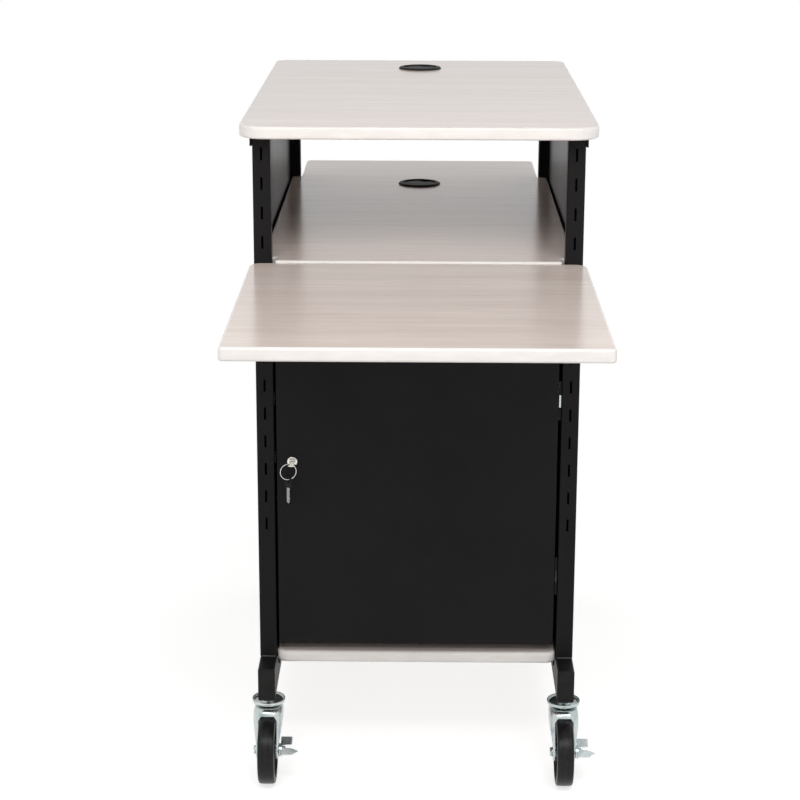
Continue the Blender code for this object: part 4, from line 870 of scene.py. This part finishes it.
def fork_shell(inset_by):
    """Fork as a closed loft; the inner one is smaller all round and runs out below."""
    # Height, front, rear, width and corner radius of each section.
    levels = [(WHEEL - 0.011, AXLE_Y - 0.008, AXLE_Y + 0.009, 0.0336, 0.003),
              (WHEEL - 0.004, AXLE_Y - 0.012, AXLE_Y + 0.013, 0.0336, 0.003),
              (WHEEL + 0.011, AXLE_Y - 0.012, AXLE_Y + 0.013, 0.0336, 0.003),
              (WHEEL + 0.025, AXLE_Y - 0.006, -0.004, 0.0388, 0.006),
              (FORK_TOP - 0.0225, -0.037, 0.016, 0.0440, 0.012),
              (FORK_TOP - 0.004, -0.033, 0.023, 0.0440, 0.015),
              (FORK_TOP - inset_by, -0.027, 0.020, 0.0380, 0.015)]
    outlines = []
    for height, front, rear, width, radius in smoothed(levels):
        outlines.append((rounded_box(width / 2 - inset_by, front + inset_by, rear - inset_by,
                                     max(radius - inset_by, LEAST_RADIUS)), height))
    if inset_by:
        outlines.insert(0, (outlines[0][0], outlines[0][1] - RUN_OUT))
    solid = bmesh.new()
    stack(solid, outlines)
    return solid


print("fork has", len(smoothed([(0,)] * 7)), "sections")

# %% Fork
HALF_ARCH, ARCH_TOP = 0.0139, WHEEL * 2 + 0.0025
ARCH_SHOULDER = ARCH_TOP - 0.0066
ARCH_REACH = 0.1
KINGPIN_BORE, KINGPIN_LOW, KINGPIN_HIGH = circle(0.0078, 40), 0.07, 0.13
AXLE_BORE, AXLE_REACH = circle(0.0043, 28), 0.04
FORK_MERGE = 2e-5
LIP, LIP_STEPS, LIP_LIMIT = 0.0006, 3, 50

fork = new_piece("caster_fork", fork_shell(0), [zinc])
arch = rounded([(-HALF_ARCH, 0, 0), (HALF_ARCH, 0, 0), (HALF_ARCH, ARCH_SHOULDER, 0.004),
                (0.0098, ARCH_TOP, 0.003), (-0.0098, ARCH_TOP, 0.003), (-HALF_ARCH, ARCH_SHOULDER, 0.004)], 4)
carve(fork, fork_shell(SHEET))
carve(fork, slab(arch, -ARCH_REACH, ARCH_REACH, UPRIGHT))
carve(fork, slab(KINGPIN_BORE, KINGPIN_LOW, KINGPIN_HIGH))
carve(fork, slab(AXLE_BORE, -AXLE_REACH, AXLE_REACH, AXLE))
solid = opened(fork.data, FORK_MERGE)
bmesh.ops.dissolve_degenerate(solid, dist=FORK_MERGE, edges=solid.edges)
closed(solid, fork.data)
bevelled(fork, LIP, LIP_STEPS, LIP_LIMIT)
shaded(fork.data, CREASE)
copies(fork, "fork_", "caster_fork_")

# %% [markdown]
# ### Wheel
# A hard rubber tread is cast on a plastic core with a hub, a sunk web and ribs. The tread has two fine
# mould lines that the photograph shows as bright threads. The ribs are the same shape again and again
# round the axle, so they come from Geometry Nodes: one tree places copies of a piece evenly round a
# circle, and joins them to nothing, so that they stay closed meshes of their own.

# %% A Geometry Nodes start and end


def geometry_tree(name, inputs):
    """New tree with named inputs; gives back the tree, those inputs and a finishing function."""
    tree = bpy.data.node_groups.new(name, "GeometryNodeTree")
    tree.interface.new_socket("Geometry", in_out="INPUT", socket_type="NodeSocketGeometry")
    for label, kind in {**inputs, "Material": "Material"}.items():
        tree.interface.new_socket(label, in_out="INPUT", socket_type="NodeSocket" + kind)
    tree.interface.new_socket("Geometry", in_out="OUTPUT", socket_type="NodeSocketGeometry")
    start = add_node(tree, "NodeGroupInput").outputs

    def finish(source):
        realize = add_node(tree, "GeometryNodeRealizeInstances", {0: source})
        paint = add_node(tree, "GeometryNodeSetMaterial", {
            "Geometry": realize, "Material": start["Material"]})
        add_node(tree, "NodeGroupOutput", {0: paint})
        print("tree", name)

    return tree, start, finish


def run_tree(tree, name, mesh, values):
    """Put a tree on a mesh with its inputs set by socket identifier, and keep the result."""
    piece = add_object(name, mesh)
    modifier = piece.modifiers.new("nodes", "NODES")
    modifier.node_group = tree
    for item in tree.interface.items_tree:
        if item.item_type == "SOCKET" and item.in_out == "INPUT" and item.name in values:
            modifier[item.identifier] = values[item.name]
    piece.update_tag()
    bpy.context.view_layer.update()
    bake(piece)
    piece.data.name = name
    return piece


def points_mesh(points, edges=()):
    mesh = bpy.data.meshes.new("points")
    mesh.from_pydata([tuple(point) for point in points], list(edges), [])
    return mesh


ONE_POINT = [(0, 0, 0)]
print("tree helpers ready")

# %% Tree: copies round a circle
tree, start, finish_tree = geometry_tree("copies_round_axis", {"Count": "Int", "Piece": "Object"})
around = tree
points = add_node(tree, "GeometryNodePoints", {"Count": start["Count"]})
index = add_node(tree, "GeometryNodeInputIndex")
share = add_node(tree, "ShaderNodeMath", {0: index, 1: start["Count"]}, operation="DIVIDE")
angle = add_node(tree, "ShaderNodeMath", {0: share, 1: math.tau}, operation="MULTIPLY")
turn = add_node(tree, "ShaderNodeCombineXYZ", {"Z": angle})
source = add_node(tree, "GeometryNodeObjectInfo", {"Object": start["Piece"]})
finish_tree(add_node(tree, "GeometryNodeInstanceOnPoints", {
    "Points": points, "Instance": source.outputs["Geometry"], "Rotation": turn}))

# %% Wheel
WHEEL_HALF = 0.0127
HUB_RADIUS, CORE_RADIUS = 0.0079, 0.0420

# Radius and how far inside the wheel's side face, from the bore out to the tread.
side = [(0.0043, 0.0006), (0.0078, 0.0006), (0.0080, 0.0012), (0.0122, 0.0010), (0.0130, 0.0016),
        (0.0150, 0.0044), (0.0168, 0.0047), (0.0366, 0.0047), (0.0382, 0.0044), (0.0400, 0.0008),
        (0.0412, 0.0001), (0.0437, 0), (0.0440, 0.0005), (0.0446, 0.0005), (0.0449, 0), (0.0476, 0.0001),
        (0.0497, 0.0011), (0.0505, 0.0034)]
side = [(radius, WHEEL_HALF - inside) for radius, inside in side]
# Radius and distance from the middle of the tread, across its mould line.
side += [(0.05068, 0.0066), (0.05078, 0.0050), (0.05052, 0.0047), (0.05052, 0.0043), (0.05080, 0.0040)]
profile = [(radius, -x) for radius, x in side] + list(reversed(side))
kinds = [2 if radius < HUB_RADIUS else 1 if radius < CORE_RADIUS else 0 for radius, _ in profile]
kinds[-1] = 2
solid = bmesh.new()
spin(solid, profile, FINE_STEPS, AXLE, looped=True, kinds=kinds)
wheel = new_piece("caster_wheel", solid, [rubber, moulded, zinc])

# %% Ribs
RIB_COUNT = 10
RIB_FOOT, RIB_SHOULDER, RIB_TOP = WHEEL_HALF - 0.0060, WHEEL_HALF - 0.0026, WHEEL_HALF - 0.0020

rib = rounded([(0.0145, -0.0012, 0), (0.0385, -0.0009, 0), (0.0385, 0.0009, 0), (0.0145, 0.0012, 0)], 2)
crest = [(x * 0.995 + 0.0001, y * 0.55) for x, y in rib]
solid = bmesh.new()
stack(solid, [(rib, RIB_FOOT), (rib, RIB_SHOULDER), (crest, RIB_TOP)])
mirrored = [[(x, -y) for x, y in reversed(outline)] for outline in (crest, rib)]
stack(solid, [(mirrored[0], -RIB_TOP), (mirrored[1], -RIB_SHOULDER), (rib[::-1], -RIB_FOOT)])
rib_piece = new_piece("rib", solid, [moulded])
ribs = run_tree(around, "wheel_ribs", points_mesh(ONE_POINT),
                {"Count": RIB_COUNT, "Piece": rib_piece, "Material": moulded})
ribs.data.transform(AXLE)
bpy.data.objects.remove(rib_piece, do_unlink=True)
copies(ribs, "ribs_", "caster_wheel_", attach=adds_to)
copies(wheel, "wheel_", "caster_wheel_")

# %% [markdown]
# ### Axle and brake pedal
# The axle is a hexagon bolt with a nut. In front it carries a side pedal too: a hub with a pointed wing
# that is pushed down to brake and a toothed wing that is pushed to let go. The wings are pressed sheet,
# so the eased copy of the solid gets a wide bevel.

# %% Axle bolts
LEG = 0.0168 + 0.0003
PEDAL_HUB = 0.0053
FLANGE_RADIUS, FLANGE_HEIGHT, HEAD_END = 0.0075, 0.0008, 0.0040
SHANK_RADIUS = 0.0040
WASHER_RADIUS, WASHER, NUT_RADIUS, NUT_END = 0.0064, 0.0007, 0.0065, 0.0042
TIP_RADIUS, TIP_CHAMFERED, TIP_END = 0.0037, 0.0032, 0.0050

for corners, nut in ((FRONT_CORNERS, LEG + PEDAL_HUB), (REAR_CORNERS, LEG)):
    solid = bmesh.new()
    flange = -LEG - FLANGE_HEIGHT
    hexagon(solid, FLANGE_RADIUS, -LEG - HEAD_END, flange, AXLE)
    spin(solid, [(0, flange), (FLANGE_RADIUS, flange), (FLANGE_RADIUS, -LEG), (SHANK_RADIUS, -LEG),
                 (SHANK_RADIUS, nut), (WASHER_RADIUS, nut), (WASHER_RADIUS, nut + WASHER),
                 (0, nut + WASHER)], BOLT_STEPS, AXLE)
    hexagon(solid, NUT_RADIUS, nut + WASHER, nut + NUT_END, AXLE)
    spin(solid, [(0, nut + NUT_END), (TIP_RADIUS, nut + NUT_END), (TIP_CHAMFERED, nut + TIP_END),
                 (0, nut + TIP_END)], TIP_STEPS, AXLE)
    copies(new_piece("axle", solid, [zinc]), "axle_", "caster_axle_", corners)

# %% Brake pedals
PEDAL_EASE, PEDAL_SEGMENTS = 0.0007, 3

for corner in FRONT_CORNERS:
    eased("brake_pedal_" + corner, PEDAL_EASE, zinc, PEDAL_SEGMENTS)
print("casters finished")

# %% [markdown]
# ## Cable grommets
# A grommet is a moulded sleeve with a stepped flange and a snap-in cap that turns, with a notch for cables.
# Both are spun. The cap's notch is cut with a rounded slot, and its top has a shallow ring, as moulds do.

# %% Grommets
FLANGE = 0.0030
NOTCH_NEAR, NOTCH_FAR = 0.004, 0.0195
NOTCH_SPARE = 0.001
SLEEVE_EASE, CAP_EASE = 0.0004, 0.0002

slot = rounded([(0.0158, -0.0080, 0.0040), (0.036, -0.0080, 0), (0.036, 0.0080, 0),
                (0.0158, 0.0080, 0.0040)], 6)
for label in ("top", "middle"):
    sleeve_node, cap_node = label + "_grommet_sleeve", label + "_grommet_cap"
    low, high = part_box(sleeve_node)
    x, y, _ = centre_of(sleeve_node)
    base = high.z - FLANGE
    profile = [(0.0249, low.z), (0.0293, low.z), (0.0297, low.z + 0.0008), (0.0297, base), (0.0358, base),
               (0.0360, base + 0.0004), (0.0357, base + 0.0014), (0.0340, base + 0.0026), (0.0322, high.z),
               (0.0284, high.z), (0.0279, high.z - 0.0005), (0.0279, base - 0.0015), (0.0249, base - 0.0015)]
    solid = bmesh.new()
    spin(solid, loop_softened(profile, SLEEVE_EASE), FINE_STEPS, moved_to(x, y), looped=True)
    stands_for(new_piece(label + "_sleeve", solid, [moulded]), sleeve_node)
    low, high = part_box(cap_node)
    profile = [(0, low.z), (0.0272, low.z), (0.0276, low.z + 0.0004), (0.0276, high.z - 0.0005),
               (0.0271, high.z), (0.0238, high.z), (0.0234, high.z - 0.0004), (0.0228, high.z - 0.0004),
               (0.0224, high.z), (0, high.z)]
    solid = bmesh.new()
    spin(solid, softened(profile, CAP_EASE, 2), FINE_STEPS, moved_to(x, y))
    cap = new_piece(label + "_cap", solid, [moulded])
    # The solid's own notch tells which way the new one has to face.
    corners = [Vector(vertex.co[:2]) for vertex in frame["nodes"][cap_node].data.vertices]
    notch = [corner for corner in corners if NOTCH_NEAR < (corner - Vector((x, y))).length < NOTCH_FAR]
    middle = sum(notch, Vector((0, 0))) / len(notch)
    aim = math.atan2(middle.y - y, middle.x - x)
    carve(cap, slab(slot, low.z - NOTCH_SPARE, high.z + NOTCH_SPARE,
                    moved_to(x, y) @ Matrix.Rotation(aim, 4, "Z")))
    shaded(cap.data)
    stands_for(cap, cap_node)
    print(label, "grommet notch at", round(math.degrees(aim)), "degrees")

# %% [markdown]
# ## Lock, keys and ring
# The cam lock has a nickel flange that is rolled over its plug, and a nut behind the door. The key in it
# is stamped flat. The spare key has a black plastic head over its steel blade, so it is two pieces that
# ride together. The ring is a real split ring: two turns of flat wire, swept along a spiral
# by Geometry Nodes, because a torus would have no split.

# %% Lock body
LOCK_NUT_RADIUS = 0.0088
LOCK_EASE = 0.0003

lock_x, _, lock_z = centre_of("lock_housing")
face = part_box("lock_housing")[0].y
here = moved_to(lock_x, 0, lock_z) @ ALONG_Y
profile = [(0.0048, face + 0.0001), (0.0052, face), (0.0068, face), (0.0075, face + 0.0006),
           (0.0077, face + 0.0013), (0.0077, face + 0.0025), (0.0059, face + 0.0025), (0.0059, face + 0.0043),
           (0.0059, face + 0.0185), (0.0048, face + 0.0185)]
solid = bmesh.new()
spin(solid, loop_softened(profile, LOCK_EASE), ROUND_STEPS, here, looped=True)
hexagon(solid, LOCK_NUT_RADIUS, face + 0.0042, face + 0.0071, here)
stands_for(new_piece("lock_body", solid, [nickel]), "lock_housing")
print("lock face at y", round(face, 4))

# %% Tree: split ring
FLATNESS = 2.8
WIRES_HIGH = 4.2
COIL_STEPS, WIRE_STEPS = 72, 10

tree, start, finish_tree = geometry_tree("split_ring", {"Radius": "Float", "Wire": "Float", "Turns": "Float"})
ring_tree = tree
height = add_node(tree, "ShaderNodeMath", {0: start["Wire"], 1: WIRES_HIGH}, operation="MULTIPLY")
coil = add_node(tree, "GeometryNodeCurveSpiral", {
    "Resolution": COIL_STEPS, "Rotations": start["Turns"], "Start Radius": start["Radius"],
    "End Radius": start["Radius"], "Height": height})
section = add_node(tree, "GeometryNodeCurvePrimitiveCircle", {
    "Resolution": WIRE_STEPS, "Radius": start["Wire"]})
flat = add_node(tree, "GeometryNodeTransform", {0: section, "Scale": (FLATNESS, 1, 1)})
finish_tree(add_node(tree, "GeometryNodeCurveToMesh", {
    "Curve": coil, "Profile Curve": flat, "Fill Caps": True}))

# %% Split ring
WIRE = 0.00016
RING_RADIUS, RING_TURNS = 0.012, 1.98
RING_TURN = math.radians(18)
RING_MIDDLE = 2.1 * WIRE

ring = run_tree(ring_tree, "split_ring", points_mesh(ONE_POINT),
                {"Radius": RING_RADIUS, "Wire": WIRE, "Turns": RING_TURNS, "Material": nickel})
solid = opened(ring.data, SAME_PLACE)
bmesh.ops.recalc_face_normals(solid, faces=solid.faces)
closed(solid, ring.data)
ring.data.transform(moved_to(*centre_of("key_ring")) @ Matrix.Rotation(RING_TURN, 4, "Z") @ UPRIGHT
                    @ moved_to(0, 0, -RING_MIDDLE))
ring.data.shade_smooth()
stands_for(ring, "key_ring")
print("ring", len(ring.data.polygons), "faces")

# %% Spare key in two parts
SPARE_TURN = math.radians(-25)
HEAD_LENGTH, HEAD_HALF, HEAD_RIM = 0.0165, 0.00095, 0.0006
EYE_RADIUS, EYE_WALL, EYE_REACH = 0.0034, 0.0018, 0.002
BLADE_EDGE, BLADE_HALF, BLADE_HIDDEN, BLADE_EASE = 0.0025, 0.0007, 0.0008, 0.0001
FIRST_CUT, CUT_PITCH = 0.0026, 0.0037
CUT_DEPTHS = (0.0010, 0.0004, 0.0013, 0.0007, 0.0011)

low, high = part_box("spare_key")
tip, head_top = low.z, high.z
head_bottom = head_top - HEAD_LENGTH
key_place = moved_to(*centre_of("key_ring")[:2]) @ Matrix.Rotation(SPARE_TURN, 4, "Z") @ UPRIGHT
head = rounded_box(0.00575, head_bottom, head_top, 0.004, 8)
slimmer = rounded_box(0.0053, head_bottom + 0.0004, head_top - 0.0004, 0.0036, 8)
solid = bmesh.new()
stack(solid, [(slimmer, -HEAD_HALF), (head, -HEAD_RIM), (head, HEAD_RIM), (slimmer, HEAD_HALF)], key_place)
spare_head = new_piece("spare_key_head", solid, [moulded])
eye = circle(EYE_RADIUS, 40, 0, head_top - EYE_WALL - EYE_RADIUS)
carve(spare_head, slab(eye, -EYE_REACH, EYE_REACH, key_place))
shaded(spare_head.data)
adds_to(spare_head, "spare_key")

outline = [(BLADE_EDGE, head_bottom + BLADE_HIDDEN), (-BLADE_EDGE, head_bottom + BLADE_HIDDEN),
           (-BLADE_EDGE, tip + BLADE_EDGE), (0, tip)]
for index, depth in enumerate(CUT_DEPTHS):
    cut = tip + FIRST_CUT + index * CUT_PITCH
    outline += [(BLADE_EDGE - 0.0001, cut), (BLADE_EDGE - depth, cut + 0.0012),
                (BLADE_EDGE - depth, cut + 0.0018), (BLADE_EDGE - 0.0001, cut + 0.0030)]
blade = new_piece("spare_key_blade", slab(outline, -BLADE_HALF, BLADE_HALF, key_place), [key_steel])
bevelled(blade, BLADE_EASE, 1, 30)
stands_for(blade, "spare_key")
print("spare key from", round(tip, 4), "to", round(head_top, 4))

# %% [markdown]
# ## Screws
# Every rail, angle and bracket is screwed up into its board from below, and the back panel is screwed on
# from behind. One button head screw is modelled and Geometry Nodes put a copy on each marked point with a
# random turn of its socket from a fixed seed, since nobody lines screws up. Placing each by hand would be
# slow and would leave them all alike.

# %% One screw
HEAD, HEAD_HEIGHT = 0.0038, 0.0019
SOCKET, SOCKET_DEPTH, SOCKET_EASE = 0.0016, 0.0012, 0.0001
SCREW_STEPS = 36

profile = softened([(HEAD * 0.96, 0.0), (HEAD, 0.0003), (HEAD * 0.86, 0.0012), (HEAD * 0.55, HEAD_HEIGHT),
                    (SOCKET * 1.25, HEAD_HEIGHT)], 0.0004)
levels = [(circle(radius, SCREW_STEPS), height) for radius, height in profile]
socket = []
for step in range(SCREW_STEPS):
    angle = math.tau * step / SCREW_STEPS
    radius = SOCKET * math.cos(math.pi / 6) / math.cos((angle % (math.pi / 3)) - math.pi / 6)
    socket.append((radius * math.cos(angle), radius * math.sin(angle)))
levels += [(socket, HEAD_HEIGHT - SOCKET_EASE), (socket, HEAD_HEIGHT - SOCKET_DEPTH)]
solid = bmesh.new()
stack(solid, levels)
screw = new_piece("screw", solid, [black_plate_and_painted_shade])
print("screw", len(screw.data.polygons), "faces")

# %% Tree: a copy on every point
tree, start, finish_tree = geometry_tree("copies_on_points",
                                         {"Piece": "Object", "Aim": "Vector", "Seed": "Int"})
on_points = tree
source = add_node(tree, "GeometryNodeObjectInfo", {"Object": start["Piece"]})
chance = add_node(tree, "FunctionNodeRandomValue", {
    0: (0, 0, 0), 1: (0, 0, math.tau), "Seed": start["Seed"]}, data_type="FLOAT_VECTOR")
aim_turn = add_node(tree, "FunctionNodeEulerToRotation", {0: start["Aim"]})
own_turn = add_node(tree, "FunctionNodeEulerToRotation", {0: chance.outputs["Value"]})
both_turns = add_node(tree, "FunctionNodeRotateRotation", {0: aim_turn, 1: own_turn}, rotation_space="LOCAL")
finish_tree(add_node(tree, "GeometryNodeInstanceOnPoints", {
    "Points": start["Geometry"], "Instance": source.outputs["Geometry"], "Rotation": both_turns}))

# %% Screws under the boards and on the back
DOWN, BACK = (math.pi, 0.0, 0.0), (-math.pi / 2, 0.0, 0.0)
# Distance from the cart's middle, places along Y, and depth of the screwed face under the node's top.
ROWS = {"top_rail": (0.2165, (0.060, 0.215, 0.375, 0.535, 0.690), 0.0032),
        "middle_support": (0.1965, (0.055, 0.230, 0.420, 0.600, 0.715), 0.0020),
        "bottom_support": (0.1965, (0.075, 0.240, 0.420, 0.600, 0.690), 0.0020),
        "work_bracket": (0.21225, (-0.360, -0.225, -0.090), 0.0025)}
BACK_ROWS, BACK_MARGIN, BACK_SEED = (-0.196, 0.196), 0.020, 5


def drive(node, marks, aim, seed):
    """One screw on each mark, riding with the node."""
    heads = run_tree(on_points, "screws_" + node, points_mesh(marks),
                     {"Piece": screw, "Aim": aim, "Seed": seed, "Material": black_plate_and_painted_shade})
    adds_to(heads, node)
    return len(marks)


count = 0
for row, (x, places, depth) in ROWS.items():
    for side, label in ((-1, "_left"), (1, "_right")):
        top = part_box(row + label)[1].z
        count += drive(row + label, [at(side * x, y, top - depth) for y in places], DOWN, len(row) + side)
low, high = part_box("back_panel")
marks = [(x + MIDDLE_X, high.y, z) for x in BACK_ROWS
         for z in (low.z + BACK_MARGIN, (low.z + high.z) / 2, high.z - BACK_MARGIN)]
count += drive("back_panel", marks, BACK, BACK_SEED)
bpy.data.objects.remove(screw, do_unlink=True)
print("screws:", count)

# %% [markdown]
# ## Weld beads
# Posts are welded to the foot tubes in front and behind. A bead is a row of frozen ripples, so the tree
# resamples its line, makes each point a little thicker or thinner with noise, and sweeps a circle along
# it. The photograph shows it as a thin light line at the foot of each front post.

# %% Tree: bead along a line
tree, start, finish_tree = geometry_tree("weld_bead", {"Radius": "Float", "Step": "Float", "Ripple": "Float"})
bead_tree = tree
line = add_node(tree, "GeometryNodeMeshToCurve", {0: start["Geometry"]})
resample = add_node(tree, "GeometryNodeResampleCurve", {"Curve": line, "Length": start["Step"]},
                    mode="LENGTH")
position = add_node(tree, "GeometryNodeInputPosition")
wobble = add_node(tree, "ShaderNodeTexNoise", {"Vector": position, "Scale": 520.0, "Detail": 2.0})
centred = add_node(tree, "ShaderNodeMath", {0: wobble, 1: 0.5}, operation="SUBTRACT")
scaled = add_node(tree, "ShaderNodeMath", {0: centred, 1: start["Ripple"], 2: 1.0}, operation="MULTIPLY_ADD")
thickness = add_node(tree, "GeometryNodeSetCurveRadius", {"Curve": resample, "Radius": scaled})
section = add_node(tree, "GeometryNodeCurvePrimitiveCircle", {"Resolution": 12, "Radius": start["Radius"]})
finish_tree(add_node(tree, "GeometryNodeCurveToMesh", {
    "Curve": thickness, "Profile Curve": section, "Fill Caps": True}))

# %% Beads at the feet of the posts
BEAD_OUT, BEAD_END = 0.0006, 0.0022
BEAD = {"Radius": 0.0015, "Step": 0.0009, "Ripple": 0.55, "Material": weld_coat}

for label in ("front_left", "front_right", "rear_left", "rear_right"):
    post, foot = "post_" + label, "foot_" + label.split("_")[1]
    low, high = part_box(post)
    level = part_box(foot)[1].z + BEAD_OUT
    ends = [(x, y, level) for y in (low.y - BEAD_OUT, high.y + BEAD_OUT)
            for x in (low.x + BEAD_END, high.x - BEAD_END)]
    beads = run_tree(bead_tree, "weld_" + post, points_mesh(ends, [(0, 1), (2, 3)]), BEAD)
    beads.data.shade_smooth()
    adds_to(beads, post)
    print("two beads at", post)

# %% [markdown]
# ## Foot plugs
# The foot tubes end in moulded plugs with a thin rounded rim. They keep dirt out and hide the cut steel.

# %% Foot plugs
PLUG_CORNER = 0.0024
# How far inside the tube's outline and how far out of its end each level lies.
PLUG_LEVELS = ((0.0001, 0.0), (0.0001, 0.0007), (0.0004, 0.0011), (0.0012, 0.0013))

for label in ("left", "right"):
    foot = "foot_" + label
    low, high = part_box(foot)
    x, _, z = centre_of(foot)
    half_x, half_z = (high.x - low.x) / 2, (high.z - low.z) / 2
    levels = [(rounded_box(half_x - inside, inside - half_z, half_z - inside, PLUG_CORNER), out)
              for inside, out in PLUG_LEVELS]
    for end, y, facing in (("front", low.y, 1), ("rear", high.y, -1)):
        solid = bmesh.new()
        stack(solid, levels, moved_to(x, y, z) @ Matrix.Rotation(facing * math.pi / 2, 4, "X"))
        adds_to(new_piece("plug_" + label + "_" + end, solid, [moulded]), foot)
    print("two plugs in", foot)

# %% [markdown]
# ## Last measures
# The dressed cart has to stay inside the box of the solids. Both boxes are printed as plain numbers.

# %% Sizes and finish
seen_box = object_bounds()
for label, (low, high) in (("solids", cad_box), ("dressed", seen_box)):
    print(label, [round(value, 4) for value in high - low])
